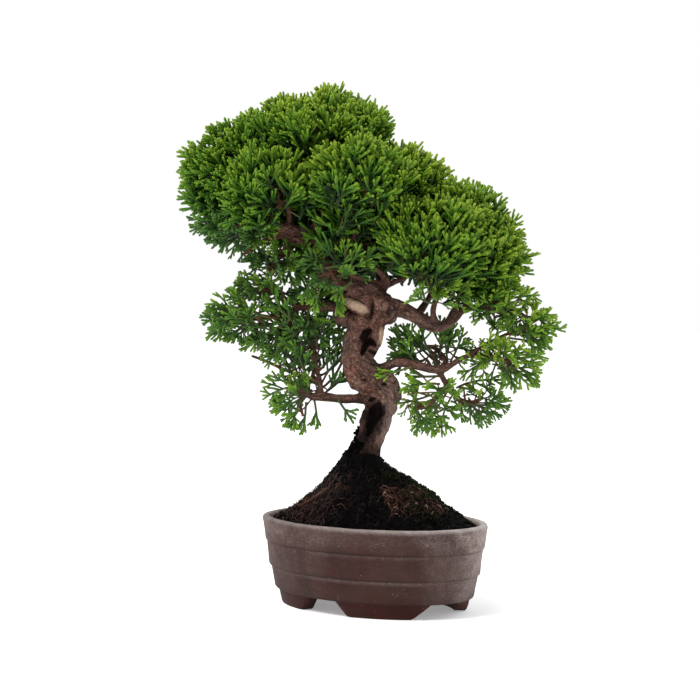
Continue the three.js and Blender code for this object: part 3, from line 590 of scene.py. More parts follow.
def pot_material():
    m = Nodes("stoneware")
    co = m.coords()
    grit = m.noise(co, 1400, 3, 0.6)
    mid = m.noise(co, 120, 5, 0.62, 0.6)
    cloud = m.noise(co, 26, 4, 0.6, 0.8)
    streak = m.noise(m.coords((1, 1, 4.5)), 60, 4, 0.6)
    col = m.ramp(mid, [(0.3, (33, 15, 14)), (0.46, (43, 20, 19)), (0.58, (50, 25, 23)), (0.75, (66, 38, 34))])
    worn = m.ramp(m.noise(co, 34, 3, 0.5, 1.0), [(0.5, 0.0), (0.66, 0.75)])
    col = m.mix(worn, col, (50, 21, 19))
    tan = m.ramp(m.noise(co, 17, 3, 0.5, 0.6), [(0.45, 0.0), (0.7, 0.5)])
    col = m.mix(tan, col, (64, 42, 36))
    # pale mineral bloom, patchy and gritty, heavier on the rim, the band edges and the long ends; on the rim and the
    # long ends it is partly painted sheen and highlight
    bloom_and_sheen = m.attr("bloom_and_sheen")
    spots = m.ramp(m.math("ADD", m.math("MULTIPLY", cloud, 0.75), m.math("MULTIPLY", mid, 0.35)), [(0.4, 0.1), (0.68, 1.0)])
    amount = m.math("MULTIPLY", m.math("MULTIPLY", bloom_and_sheen, m.math("ADD", spots, 0.18)), m.ramp(streak, [(0.3, 0.66), (0.6, 0.95)]), clamp=True)
    speck = m.ramp(m.noise(co, 620, 4, 0.7), [(0.38, 0.62), (0.62, 1.0)])
    amount = m.math("MULTIPLY", amount, speck)
    dust = m.ramp(grit, [(0.35, (112, 96, 90)), (0.6, (154, 142, 138))])
    col = m.mix(amount, col, dust)
    # painted highlight: a pale band along the rim, stronger to the right
    col = m.mix(m.math("MULTIPLY", m.attr("lip"), m.ramp(mid, [(0.3, 0.45), (0.6, 0.85)]), clamp=True), col, (164, 156, 154))
    # thin pale scratches and spills
    scr = m.voronoi(m.coords((1.0, 1.0, 3.2)), 95, "DISTANCE_TO_EDGE")
    sm = m.math("MULTIPLY", m.ramp(scr, [(0.0, 1.0), (0.012, 0.6), (0.03, 0.0)]), m.ramp(m.noise(co, 70, 3, 0.6), [(0.52, 0.0), (0.64, 1.0)]))
    col = m.mix(m.math("MULTIPLY", m.math("MULTIPLY", sm, bloom_and_sheen), 0.7, clamp=True), col, (172, 160, 152))
    # scattered flecks
    fl = m.voronoi(co, 520)
    fm = m.ramp(fl, [(0.0, 1.0), (0.12, 0.9), (0.2, 0.0)])
    keep = m.ramp(m.noise(co, 180, 2, 0.5), [(0.6, 0.0), (0.66, 1.0)])
    col = m.mix(m.math("MULTIPLY", m.math("MULTIPLY", fm, keep), 0.35), col, (170, 158, 150))
    fd = m.voronoi(m.coords((1.1, 0.93, 1.0)), 300)
    dm = m.ramp(fd, [(0.0, 1.0), (0.12, 0.8), (0.2, 0.0)])
    keep2 = m.ramp(m.noise(co, 150, 2, 0.5), [(0.5, 0.0), (0.6, 1.0)])
    col = m.mix(m.math("MULTIPLY", m.math("MULTIPLY", dm, keep2), 0.5), col, (28, 18, 18))
    # painted shade: dark lines at the band steps and above the foot
    line = m.attr("line")
    col = m.mix(m.math("MULTIPLY", line, 0.55), col, (24, 14, 14))
    col = m.mix(1.0, col, m.mix(m.attr("foot"), (255, 255, 255), (255, 214, 206)), "MULTIPLY")
    m.link(col, m.bsdf.inputs["Base Color"])
    m.link(m.ramp(mid, [(0.3, 0.62), (0.7, 0.82)]), m.bsdf.inputs["Roughness"])
    m.bsdf.inputs["Specular IOR Level"].default_value = 0.16
    h = m.math("ADD", m.math("MULTIPLY", grit, 0.5), m.math("MULTIPLY", mid, 1.2))
    m.bump(h, 0.4, 0.0006)
    return m.mat


def soil_material():
    m = Nodes("soil_crumbs")
    co = m.coords()
    a = m.noise(co, 420, 6, 0.7)
    b = m.noise(co, 90, 4, 0.6)
    col = m.ramp(a, [(0.3, (2, 1, 1)), (0.54, (3, 2, 2)), (0.66, (8, 6, 5)), (0.72, (34, 22, 18)), (0.82, (120, 98, 80))])
    col = m.mix(m.ramp(b, [(0.4, 0.0), (0.65, 0.6)]), col, (5, 4, 4))
    m.link(col, m.bsdf.inputs["Base Color"])
    m.link(m.ramp(a, [(0.3, 0.98), (0.7, 0.8)]), m.bsdf.inputs["Roughness"])
    m.bsdf.inputs["Specular IOR Level"].default_value = 0.06
    m.bump(a, 0.7, 0.0008)
    return m.mat


def moss_material():
    m = Nodes("moss_cushion")
    co = m.coords()
    a = m.noise(co, 300, 5, 0.65)
    b = m.noise(co, 60, 3, 0.6)
    col = m.ramp(a, [(0.3, (8, 11, 5)), (0.5, (19, 26, 9)), (0.64, (38, 50, 16)), (0.8, (92, 100, 42))])
    col = m.mix(m.ramp(b, [(0.5, 0.0), (0.68, 0.85)]), col, (24, 19, 13))
    m.link(col, m.bsdf.inputs["Base Color"])
    m.link(m.ramp(a, [(0.3, 0.95), (0.8, 0.75)]), m.bsdf.inputs["Roughness"])
    m.bsdf.inputs["Specular IOR Level"].default_value = 0.08
    m.bump(a, 0.5, 0.0006)
    return m.mat


def fibre_material():
    m = Nodes("fine_roots")
    uvn = m.new("ShaderNodeUVMap", uv_map="OFBake")
    sep = m.new("ShaderNodeSeparateXYZ")
    m.link(uvn.outputs[0], sep.inputs[0])
    col = m.ramp(sep.outputs[1], [(0.0, (12, 7, 6)), (0.4, (38, 17, 11)), (0.7, (96, 44, 29)), (0.88, (146, 98, 74)), (1.0, (222, 190, 164))])
    nz = m.new("ShaderNodeTexNoise")
    m.link(uvn.outputs[0], nz.inputs["Vector"])
    nz.inputs["Scale"].default_value = 50
    nz.inputs["Detail"].default_value = 3
    col = m.mix(1.0, col, m.ramp(nz.outputs[0], [(0.3, 0.6), (0.7, 1.25)]), "MULTIPLY")
    m.link(col, m.bsdf.inputs["Base Color"])
    m.link(m.ramp(nz.outputs[0], [(0.3, 0.85), (0.7, 0.7)]), m.bsdf.inputs["Roughness"])
    return m.mat


def plastic_material():
    m = Nodes("screen_plastic")
    co = m.coords()
    a = m.noise(co, 900, 4, 0.6)
    m.link(m.ramp(a, [(0.3, (16, 16, 17)), (0.7, (34, 33, 32))]), m.bsdf.inputs["Base Color"])
    m.link(m.ramp(a, [(0.3, 0.42), (0.7, 0.6)]), m.bsdf.inputs["Roughness"])
    m.bump(a, 0.25, 0.0002)
    return m.mat


def wire_material():
    m = Nodes("drawn_wire")
    co = m.coords()
    a = m.noise(co, 1500, 3, 0.6)
    m.link(m.ramp(a, [(0.3, (128, 124, 120)), (0.7, (172, 170, 168))]), m.bsdf.inputs["Base Color"])
    m.link(m.ramp(a, [(0.3, 0.34), (0.7, 0.5)]), m.bsdf.inputs["Roughness"])
    m.bsdf.inputs["Metallic"].default_value = 1.0
    m.bump(a, 0.2, 0.0001)
    return m.mat


def floor_material():
    m = Nodes("studio_floor")
    co = m.coords()
    a = m.noise(co, 3, 2, 0.5)
    m.link(m.ramp(a, [(0.3, (0.86, 0.86, 0.86)), (0.7, (0.88, 0.88, 0.88))]), m.bsdf.inputs["Base Color"])
    # the floor glows so it reads white; the glow is weaker close to the middle where the pot stands, a painted shadow
    # round the pot
    m.bsdf.inputs["Emission Color"].default_value = (1.0, 1.0, 1.0, 1.0)
    far = m.new("ShaderNodeVectorMath", operation="LENGTH")
    m.link(co, far.inputs[0])
    floor_glow_ramp = m.new("ShaderNodeMapRange")
    m.link(far.outputs["Value"], floor_glow_ramp.inputs["Value"])
    floor_glow_ramp.inputs["From Min"].default_value = 0.078
    floor_glow_ramp.inputs["From Max"].default_value = 0.105
    floor_glow_ramp.inputs["To Min"].default_value = 0.28
    floor_glow_ramp.inputs["To Max"].default_value = 0.52
    m.link(floor_glow_ramp.outputs[0], m.bsdf.inputs["Emission Strength"])
    m.bsdf.inputs["Roughness"].default_value = 0.9
    m.bsdf.inputs["Specular IOR Level"].default_value = 0.1
    return m.mat


MAT = {
    "leaf": foliage_material(),
    "fan": fan_material(),
    "twig": twig_material(),
    "bark": bark_material(),
    "pot": pot_material(),
    "soil": soil_material(),
    "moss": moss_material(),
    "fibre": fibre_material(),
    "plastic": plastic_material(),
    "wire": wire_material(),
    "floor": floor_material(),
}


# ------------------------------------------------------------------ pot
def rounded(profile, radii, n=4):
    """A profile whose corners are rounded: profile is a list of (r, z), radii one per corner."""
    out = []
    P = [np.array(p, float) for p in profile]
    for k, p in enumerate(P):
        r = radii[k]
        if r <= 0 or k in (0, len(P) - 1):
            out.append(p)
            continue
        a, b = P[k - 1] - p, P[k + 1] - p
        la, lb = np.linalg.norm(a), np.linalg.norm(b)
        cut = min(r, la * 0.45, lb * 0.45)
        s, e = p + a / la * cut, p + b / lb * cut
        for i in range(n + 1):
            t = i / n
            out.append((1 - t) ** 2 * s + 2 * t * (1 - t) * p + t * t * e)
    return np.array(out)


def densify(profile, step):
    out = [profile[0]]
    for p, q in zip(profile[:-1], profile[1:]):
        n = max(1, int(math.ceil(np.linalg.norm(q - p) / step)))
        for i in range(1, n + 1):
            out.append(p + (q - p) * i / n)
    return np.array(out)


def build_pot():
    A, H = POT_A, POT_H
    outer = rounded(
        [(0, FOOT_H), (A - 10.4, FOOT_H), (A - 9.2, FOOT_H + 0.9), (A - 6.4, Z2 - 0.4), (A - 4.9, Z2 + 0.4), (A - 3.3, Z1 - 0.4), (A - 2.2, Z1 + 0.4), (A - 0.5, H - 4.2), (A, H - 1.9), (A - 0.6, H - 0.4), (A - 1.9, H), (A - WALL + 1.2, H)],
        [0, 0.8, 0.8, 0.5, 0.7, 0.5, 0.7, 1.0, 0.8, 0.6, 0.6, 0], 3)
    inner = rounded(
        [(A - WALL + 0.6, H - 0.3), (A - WALL, H - 1.4), (A - WALL - 0.6, H - 4), (A - 8.6, Z1 - 2), (A - 13.2, FOOT_H + FLOOR + 3.5), (A - 17.5, FOOT_H + FLOOR), (0, FOOT_H + FLOOR)],
        [0, 0.5, 0.5, 2, 3, 2, 0], 3)
    po = densify(outer, 1.1)
    pi = densify(inner, 2.2)
    seg = 300
    th = np.arange(seg) / seg * 2 * math.pi
    v, lines, blooms = [], [], []
    for prof, ratio in ((po, OUT), (pi, IN)):
        for r, z in prof[1:] if prof is po else prof[:-1]:
            v.append(np.stack([r * np.cos(th), r * ratio * np.sin(th), np.full(seg, z)], -1))
    rings = len(v)
    v = np.vstack(v)
    quads = rings_to_quads(rings, seg)
    # centre points under and inside
    v = np.vstack([v, [[0, 0, FOOT_H], [0, 0, FOOT_H + FLOOR]]])
    c0, c1 = len(v) - 2, len(v) - 1
    j = np.arange(seg)
    tri = np.vstack([np.stack([np.full(seg, c0), (j + 1) % seg, j], -1), np.stack([np.full(seg, c1), (rings - 1) * seg + j, (rings - 1) * seg + (j + 1) % seg], -1)])
    me = make_mesh("pot_body", v, quads, tri)
    body = bpy.data.objects.new("pot_body", me)
    bpy.context.scene.collection.objects.link(body)
    # drainage holes
    for sx in (-1, 1):
        k = 48
        a = np.arange(k) / k * 2 * math.pi
        r = 8.0
        zz = [FOOT_H - 2, FOOT_H + FLOOR + 2]
        cv = np.vstack([np.stack([sx * 30 + r * np.cos(a), r * np.sin(a), np.full(k, z)], -1) for z in zz] + [[[sx * 30, 0, zz[0]], [sx * 30, 0, zz[1]]]])
        jj = np.arange(k)
        ct = np.vstack([np.stack([np.full(k, 2 * k), (jj + 1) % k, jj], -1), np.stack([np.full(k, 2 * k + 1), k + jj, k + (jj + 1) % k], -1)])
        cme = make_mesh("cut", cv, rings_to_quads(2, k), ct)
        cut = bpy.data.objects.new("cut", cme)
        bpy.context.scene.collection.objects.link(cut)
        mod = body.modifiers.new("b", "BOOLEAN")
        mod.operation, mod.object, mod.solver = "DIFFERENCE", cut, "EXACT"
        dg = bpy.context.evaluated_depsgraph_get()
        new = bpy.data.meshes.new_from_object(body.evaluated_get(dg))
        body.modifiers.clear()
        body.data = new
        bpy.data.objects.remove(cut)
    n = len(body.data.vertices)
    co = np.empty(n * 3, np.float32)
    body.data.vertices.foreach_get("co", co)
    bv = co.reshape(-1, 3).astype(float)
    bi = np.empty(len(body.data.loops), np.int32)
    body.data.loops.foreach_get("vertex_index", bi)
    sizes = np.empty(len(body.data.polygons), np.int32)
    body.data.polygons.foreach_get("loop_total", sizes)
    starts = np.concatenate([[0], np.cumsum(sizes)[:-1]])
    groups = {int(s): bi[(starts[sizes == s][:, None] + np.arange(s)[None, :])] for s in np.unique(sizes)}
    bpy.data.objects.remove(body)
    # feet: four tapering blocks that follow the oval
    fv, fq = [], []
    base = len(bv)
    ro, rin = np.array([A - 14.2, A - 11.7]), np.array([A - 21.9, A - 20.9])
    for q in range(4):
        sx, sy = ((1, 1), (-1, 1), (-1, -1), (1, -1))[q]
        nz, nt = 12, 40
        loop = []
        zs = np.linspace(0, FOOT_H + 1.2, nz)
        # end angles of the foot at each height
        def ends(z, grow=0.0):
            f = np.clip(z / FOOT_H, 0, 1.15)
            half_end = 24 + (16.4 - 24) * f + grow
            half_side = 19 + (11.5 - 19) * f + grow
            r = ro[0] + (ro[1] - ro[0]) * f
            return math.asin(min(0.98, half_end / (r * OUT))), math.acos(min(0.98, half_side / r))
        rows = []
        # the section: up the outside, across the top inside the body, down the inside, across the sole
        sect = [(0.0, z) for z in zs] + [(x, FOOT_H + 1.2) for x in (0.33, 0.66)] + [(1.0, z) for z in zs[::-1]] + [(x, 0.0) for x in (0.8, 0.6, 0.4, 0.2)]
        m = len(sect)
        for it in range(nt + 1):
            t = it / nt
            edge = min(it, nt - it)
            pull = (0.55, 0.16, 0.0)[edge] if edge < 3 else 0.0
            ring = []
            for x, z in sect:
                zz = z
                soft = 0.0
                if z < 0.9:
                    soft = 0.9 - z
                a0, a1 = ends(z, 0.5 * soft)
                th_ = a0 + (a1 - a0) * t
                f = min(z / FOOT_H, 1.15)
                r_o = ro[0] + (ro[1] - ro[0]) * f - 0.55 * soft - pull * 1.1
                r_i = rin[0] + (rin[1] - rin[0]) * f + 0.5 * soft + pull * 1.1
                r = r_o + (r_i - r_o) * x
                k_o, k_i = OUT, 0.63
                k = k_o + (k_i - k_o) * x
                ring.append((sx * r * math.cos(th_), sy * r * k * math.sin(th_), zz))
            rows.append(ring)
        ring = np.array(rows)
        fv.append(ring.reshape(-1, 3))
        qd = rings_to_quads(nt + 1, m, True, base)
        if sx * sy < 0:
            qd = qd[:, ::-1]
        fq.append(qd[:, ::-1])
        # close the ends with fans round a middle point
        for e, it in enumerate((0, nt)):
            mid = ring[it].mean(0)
            fv.append(mid[None, :])
        count = (nt + 1) * m
        jj = np.arange(m)
        s = base + count
        fan0 = np.stack([np.full(m, s), base + jj, base + (jj + 1) % m], -1)
        fan1 = np.stack([np.full(m, s + 1), base + nt * m + (jj + 1) % m, base + nt * m + jj], -1)
        if sx * sy < 0:
            fan0, fan1 = fan0[:, ::-1], fan1[:, ::-1]
        groups.setdefault(3, np.zeros((0, 3), np.int32))
        groups[3] = np.vstack([groups[3], fan0, fan1])
        base += count + 2
    V = np.vstack([bv] + fv)
    groups[4] = np.vstack([groups.get(4, np.zeros((0, 4), np.int32))] + fq)
    # the hand-made surface: slightly uneven walls and rim
    n1 = fbm(V / 22.0, 5, 3) - 0.5
    n2 = fbm(V / 5.0, 9, 3) - 0.5
    rad = np.stack([V[:, 0], V[:, 1] / OUT], -1)
    rl = np.linalg.norm(rad, axis=1) + 1e-6
    out = np.stack([V[:, 0] / rl, V[:, 1] / OUT / rl * 1.0, np.zeros(len(V))], -1)
    side = np.clip((rl - 50) / 10, 0, 1)
    V = V + out * ((0.55 * n1 + 0.28 * n2) * side)[:, None]
    rim = np.clip((V[:, 2] - (H - 3)) / 3, 0, 1)
    V[:, 2] += rim * 0.5 * (fbm(V / 14.0, 31, 2) - 0.5)
    V[:, 2] = np.maximum(V[:, 2], 0.0)
    # shading guides: painted shade lines at the band steps and the foot, bloom with painted sheen on the ends and the
    # rim, a painted highlight on the rim, and the foot's tint
    z = V[:, 2]
    # painted shade: dark lines at the band steps and where the foot meets the body
    line = np.maximum(np.exp(-((z - Z1 - 0.1) / 0.5) ** 2), np.exp(-((z - Z2 - 0.1) / 0.5) ** 2)) * (rl > A * 0.8)
    line = np.maximum(line, np.exp(-((z - FOOT_H - 0.4) / 0.6) ** 2) * (rl > A * 0.8) * 0.8)
    vx = unturn(np.stack([V[:, 0], V[:, 1], z], -1))
    nx = vx[:, 0] / 68.0
    # bloom heavier on the long ends, most on the right, and towards the top; on the ends it is partly painted sheen
    ends_ = np.clip((nx - 0.36) / 0.6, 0, 1) * 0.95 + np.clip((-nx - 0.38) / 0.55, 0, 1) * 0.27 + 0.05 + 0.13 * np.clip((z - Z1) / 8, 0, 1)
    backs = np.clip(vx[:, 1] / 50.0, 0, 1) * 0.4
    high = 0.55 + 0.6 * np.clip((z - 8) / 40, 0, 1)
    bloom_and_sheen = np.clip((ends_ + backs) * high, 0, 1.3)
    # the rim's bloom also carries a painted highlight, stronger to the right
    bloom_and_sheen = np.maximum(bloom_and_sheen, (0.85 + 0.5 * np.clip(nx, -0.3, 1)) * np.exp(-((z - H) / 2.6) ** 2))
    bloom_and_sheen = np.maximum(bloom_and_sheen, 0.3 * np.exp(-((z - (Z1 - 1.2)) / 0.9) ** 2))
    bloom_and_sheen = np.maximum(bloom_and_sheen, 0.4 * np.exp(-((z - (Z2 - 1.2)) / 0.9) ** 2))
    faces = {k: f for k, f in groups.items()}
    foot = np.clip((FOOT_H + 0.6 - z) / 1.0, 0, 1)
    # painted highlight along the rim, stronger to the right
    lip = np.exp(-((z - H) / 1.6) ** 2) * (0.6 + 0.5 * np.clip(nx, -0.6, 1))
    bloom_and_sheen = bloom_and_sheen * (1 - 0.6 * foot * (nx < 0.7))
    me = make_mesh("stoneware_pot", metres(V), faces.pop(4), faces.pop(3), attrs={"bloom_and_sheen": bloom_and_sheen, "line": line, "foot": foot, "lip": lip}, others=[f for _, f in sorted(faces.items())])
    ob = add_object("stoneware_pot", me, MAT["pot"], ("pot",))
    return ob


# ------------------------------------------------------------------ soil
LEFT_FALL = np.array([[0, 1], [0.15, 1], [0.22, 0.9], [0.28, 0.78], [0.34, 0.67], [0.48, 0.45], [0.7, 0.22], [0.86, 0.1], [1, 0]])
RIGHT_FALL = np.array([[0, 1], [0.15, 0.9], [0.22, 0.77], [0.31, 0.68], [0.42, 0.6], [0.52, 0.51], [0.62, 0.42], [0.71, 0.3], [0.83, 0.16], [0.9, 0.09], [1, 0]])
PEAK = turn(place(363, 450, 1))
EDGE_A = POT_A - WALL - 0.7
EDGE_B = EDGE_A * IN


def reach_at(a):
    ex, ey = np.cos(a) / EDGE_A, np.sin(a) / EDGE_B
    px, py = PEAK[0] / EDGE_A, PEAK[1] / EDGE_B
    A = ex * ex + ey * ey
    B = ex * px + ey * py
    return (-B + np.sqrt(B * B - A * (px * px + py * py - 1))) / A


def mound(x, y):
    dx, dy = x - PEAK[0], y - PEAK[1]
    d = np.hypot(dx, dy)
    a = np.arctan2(dy, dx)
    s = np.clip(d / reach_at(a), 0, 1)
    right = 0.5 + 0.5 * np.cos(a - TURN)
    return SOIL_EDGE + MOUND * (np.interp(s, RIGHT_FALL[:, 0], RIGHT_FALL[:, 1]) * right + np.interp(s, LEFT_FALL[:, 0], LEFT_FALL[:, 1]) * (1 - right))


def soil_point(s, a):
    """Share of the way to the wall and direction, to a point on the mound."""
    r = reach_at(a) * s
    x, y = PEAK[0] + r * np.cos(a), PEAK[1] + r * np.sin(a)
    return np.stack([x, y, mound(x, y)], -1)


def soil_relief(p):
    """Uneven surface of the root ball."""
    q = p / 7.0
    return 1.5 * (fbm(q, 61, 3) - 0.5) + 2.2 * (fbm(p / 2.2, 67, 2) - 0.5) * 0.6


def ico(subdiv):
    me = bpy.data.meshes.new("ico")
    import bmesh
    bm = bmesh.new()
    bmesh.ops.create_icosphere(bm, subdivisions=subdiv, radius=1.0)
    bm.to_mesh(me)
    bm.free()
    v = np.array([x.co[:] for x in me.vertices])
    t = np.array([p.vertices[:] for p in me.polygons])
    bpy.data.meshes.remove(me)
    return v, t


def build_soil():
    ns, na = 90, 260
    s = np.linspace(0.0, 1.0, ns)[1:]
    a = np.arange(na) / na * 2 * math.pi
    S, A_ = np.meshgrid(s, a, indexing="ij")
    P = soil_point(S.ravel(), A_.ravel())
    rel = soil_relief(P)
    fade = np.clip((1.0 - S.ravel()) / 0.05, 0.15, 1)
    P[:, 2] += rel * fade - 0.5 + 0.9 * (noise(P / 1.1, 63) - 0.5) * fade
    P[:, 0] += 0.7 * (noise(P / 3.1, 71) - 0.5)
    P[:, 1] += 0.7 * (noise(P / 3.1, 73) - 0.5)
    quads = rings_to_quads(ns - 1, na)
    top = np.array([[PEAK[0], PEAK[1], SOIL_EDGE + MOUND]])
    # the side down inside the pot and the flat underside close the form
    low = []
    zlow = [SOIL_EDGE - 6, Z1 - 2, FOOT_H + FLOOR + 4.0, FOOT_H + FLOOR + 2.6]
    rlow = [POT_A - WALL - 1.8, POT_A - 9.6, POT_A - 14.4, POT_A - 18.6]
    for z, r in zip(zlow, rlow):
        x = PEAK[0] + reach_at(a) * np.cos(a)
        y = PEAK[1] + reach_at(a) * np.sin(a)
        k = r / EDGE_A
        low.append(np.stack([x * k, y * k, np.full(na, z)], -1))
    V = np.vstack([P] + low + [top, [[0, 0, FOOT_H + FLOOR + 2.6]]])
    n_r = ns - 1 + len(low)
    quads = rings_to_quads(n_r, na)
    c_top, c_low = len(V) - 2, len(V) - 1
    j = np.arange(na)
    tri = np.vstack([np.stack([np.full(na, c_top), j, (j + 1) % na], -1), np.stack([np.full(na, c_low), (n_r - 1) * na + (j + 1) % na, (n_r - 1) * na + j], -1)])
    quads = quads[:, ::-1]
    verts, tris, base = [V], [tri], len(V)
    # crumbs bedded in the surface
    iv1, it1 = ico(1)
    iv2, it2 = ico(2)
    count = 6000
    ss = np.sqrt(rng.random(count)) * 0.985
    aa = rng.random(count) * 2 * math.pi
    C = soil_point(ss, aa)
    C[:, 2] += soil_relief(C) * 0.9 - 0.4
    # soil and dark fibre cling to the lower left of the trunk
    extra = 1500
    cv_ = 454 - 40 * rng.random(extra) ** 1.5
    cu_ = np.interp(cv_, [408, 428, 447, 470], [380, 374, 368.5, 364])
    cr_ = np.interp(cv_, [408, 428, 447, 470], [15.5, 14, 12.6, 14])
    ph = np.radians(140 + 150 * rng.random(extra))
    left_ = np.clip(-np.cos(ph), 0, 1)
    k_ = 0.9 + (np.interp(cv_, [412, 430, 440, 452], [0.08, 0.3, 0.52, 0.85]) - 0.1) * left_ * rng.random(extra) + 0.1 * rng.random(extra)
    on = rng.random(extra) < np.clip((cv_ - 412) / 22, 0.12, 1) * np.where(np.degrees(ph) > 235, np.clip((cv_ - 436) / 10, 0, 1), 1)
    C2 = turn(place(cu_ + cr_ * k_ * np.cos(ph), cv_, cr_ * UNIT * k_ * np.sin(ph)))[on]
    C = np.vstack([C, C2])
    count = len(C)
    size = 0.3 + 0.75 * rng.random(count) ** 2.2
    size[rng.random(count) < 0.012] *= 1.7
    for k in range(count):
        big = size[k] > 1.25
        iv, it = (iv2, it2) if big else (iv1, it1)
        sc = size[k] * (0.7 + 0.6 * rng.random(3))
        ang = rng.random(3) * 6.28
        cx, sx_ = math.cos(ang[0]), math.sin(ang[0])
        cz, sz = math.cos(ang[1]), math.sin(ang[1])
        R = np.array([[cz, -sz, 0], [sz, cz, 0], [0, 0, 1]]) @ np.array([[1, 0, 0], [0, cx, -sx_], [0, sx_, cx]])
        w = iv * sc
        w = w * (1 + 0.9 * (rng.random(len(iv)) - 0.5))[:, None]
        verts.append(w @ R.T + C[k])
        tris.append(it + base)
        base += len(iv)
    V = np.vstack(verts)
    T = np.vstack(tris)
    span = 160.0
    uv = np.stack([V[:, 0] / span + 0.5, V[:, 1] / span + 0.5], -1)
    me = make_mesh("soil_mound", metres(V), quads, T, uv=uv, smooth=False)
    return add_object("soil_mound", me, MAT["soil"], ("soil",))


def build_moss():
    """A low ragged cushion on the right of the mound, of short leafy shoots."""
    b_v, b_t, base = [], [], 0
    count = 5200
    aa = TURN + np.radians(-60 + 154 * rng.random(count))
    ss = 0.13 + 0.8 * np.sqrt(rng.random(count))
    P = soil_point(ss, aa)
    patch = fbm(P / 9.0, 91, 3)
    keep = patch > 0.42 + 0.16 * np.clip(1 - (np.degrees(aa - TURN) + 60) / 34, 0, 1)
    edge = np.minimum((ss - 0.13) / 0.12, (0.93 - ss) / 0.12)
    keep &= rng.random(count) < np.clip(edge, 0.15, 1)
    P = P[keep]
    P[:, 2] += soil_relief(P) * 0.9 - 0.2
    # small domed tufts, each of three thin three-sided blades
    for p in P:
        h = 0.9 + 1.5 * rng.random()
        w = 0.35 + 0.3 * rng.random()
        for _ in range(3):
            a = rng.random() * 6.28
            lean = 0.9 * rng.random()
            d = np.array([math.cos(a) * lean, math.sin(a) * lean, 1.0])
            d /= np.linalg.norm(d)
            side = np.cross(d, [math.cos(a + 1.3), math.sin(a + 1.3), 0.2])
            side /= np.linalg.norm(side)
            o = np.cross(d, side)
            q = p + 0.5 * w * np.array([math.cos(a), math.sin(a), 0])
            ring = [q + w * 0.5 * side, q - w * 0.25 * side + w * 0.43 * o, q - w * 0.25 * side - w * 0.43 * o]
            midp = q + d * h * 0.55
            ring2 = [midp + w * 0.42 * side, midp - w * 0.2 * side + w * 0.36 * o, midp - w * 0.2 * side - w * 0.36 * o]
            tipp = q + d * h
            b_v.extend(ring + ring2 + [tipp])
            for i in range(3):
                jn = (i + 1) % 3
                b_t.append((base + i, base + jn, base + 3 + jn))
                b_t.append((base + i, base + 3 + jn, base + 3 + i))
                b_t.append((base + 3 + i, base + 3 + jn, base + 6))
            b_t.append((base, base + 2, base + 1))
            base += 7
    V = np.array(b_v)
    uv = np.stack([V[:, 0] / 160 + 0.5, V[:, 1] / 160 + 0.5], -1)
    me = make_mesh("moss_cushion", metres(V), None, np.array(b_t), uv=uv)
    return add_object("moss_cushion", me, MAT["moss"], ("moss",))


def build_fibres():
    """Fine roots lying on and poking out of the mound."""
    b = Build()

    def root(s, a, length, radius, tone, lift=1.0, curl=1.0, heading=None):
        steps = max(6, int(length / 1.3))
        p = soil_point(np.array([s]), np.array([a]))[0]
        pts = []
        h = heading if heading is not None else a + (rng.random() - 0.5) * 3.4
        x, y = p[0], p[1]
        up = 0.0
        arch = lift * (0.5 + rng.random())
        for i in range(steps):
            t = i / (steps - 1)
            z = float(mound(np.array([x]), np.array([y]))[0])
            z += soil_relief(np.array([[x, y, z]]))[0] * 0.8
            up = arch * math.sin(math.pi * min(1.0, t * 1.15)) - 0.25
            pts.append([x, y, z + up])
            h += (rng.random() - 0.5) * 0.85 * curl
            x += math.cos(h) * length / steps
            y += math.sin(h) * length / steps
        pts = spline(np.array(pts), 0.7)
        r = radius * np.linspace(1.0, 0.45, len(pts))
        b.tube(pts, r, 5, uv=(rng.random() * 0.5, 0.5 + rng.random() * 0.5, np.clip(tone, 0, 0.94), 0.05), wobble=0.2)

    front = -math.pi / 2 + TURN
    left = math.pi + TURN
    for _ in range(260):
        root(0.25 + 0.7 * rng.random(), rng.random() * 6.28, 3 + 6 * rng.random() ** 1.5, 0.06 + 0.08 * rng.random(), 0.08 + 0.3 * rng.random() + (0.4 if rng.random() < 0.08 else 0), 1.0, 0.8)
    for _ in range(380):
        root(0.34 + 0.6 * rng.random(), left + (rng.random() - 0.4) * 1.7, 3 + 9 * rng.random(), 0.06 + 0.08 * rng.random(), 0.12 + 0.34 * rng.random() + (0.42 if rng.random() < 0.2 else 0), 1.7, 0.7)
    # the paler tangle on the front right
    ca = TURN + math.radians(-52)
    for _ in range(330):
        root(0.46 + 0.3 * rng.random(), ca + (rng.random() - 0.5) * 0.7, 2 + 4.5 * rng.random(), 0.06 + 0.08 * rng.random(), 0.4 + 0.24 * rng.random() + (0.34 if rng.random() < 0.14 else 0), 1.1, 0.8)
    # a few thicker roots half bedded in the slope
    for ang, s0, ln, rr, tone in ((left + 0.35, 0.34, 20, 0.4, 0.1), (left - 0.25, 0.4, 16, 0.36, 0.12), (TURN + 0.5, 0.4, 24, 0.8, 0.25), (TURN + 1.6, 0.35, 28, 0.9, 0.3), (TURN + 2.4, 0.35, 26, 0.8, 0.3)):
        root(s0, ang, ln, rr, tone, 0.9, 0.5, heading=ang)
    me = b.mesh("fine_roots")
    return add_object("fine_roots", me, MAT["fibre"])


# ------------------------------------------------------------------ trunk
def limb_rows(name, step=1.0):
    rows = np.array(LIMBS[name], float)
    pts = turn(place(rows[:, 0], rows[:, 1], rows[:, 2]))
    return spline(np.column_stack([pts, rows[:, 3] * UNIT]), step)


CENTRE = {}
for _k, (_name, _rows) in enumerate(LIMBS.items()):
    CENTRE[_name] = limb_rows(_name)


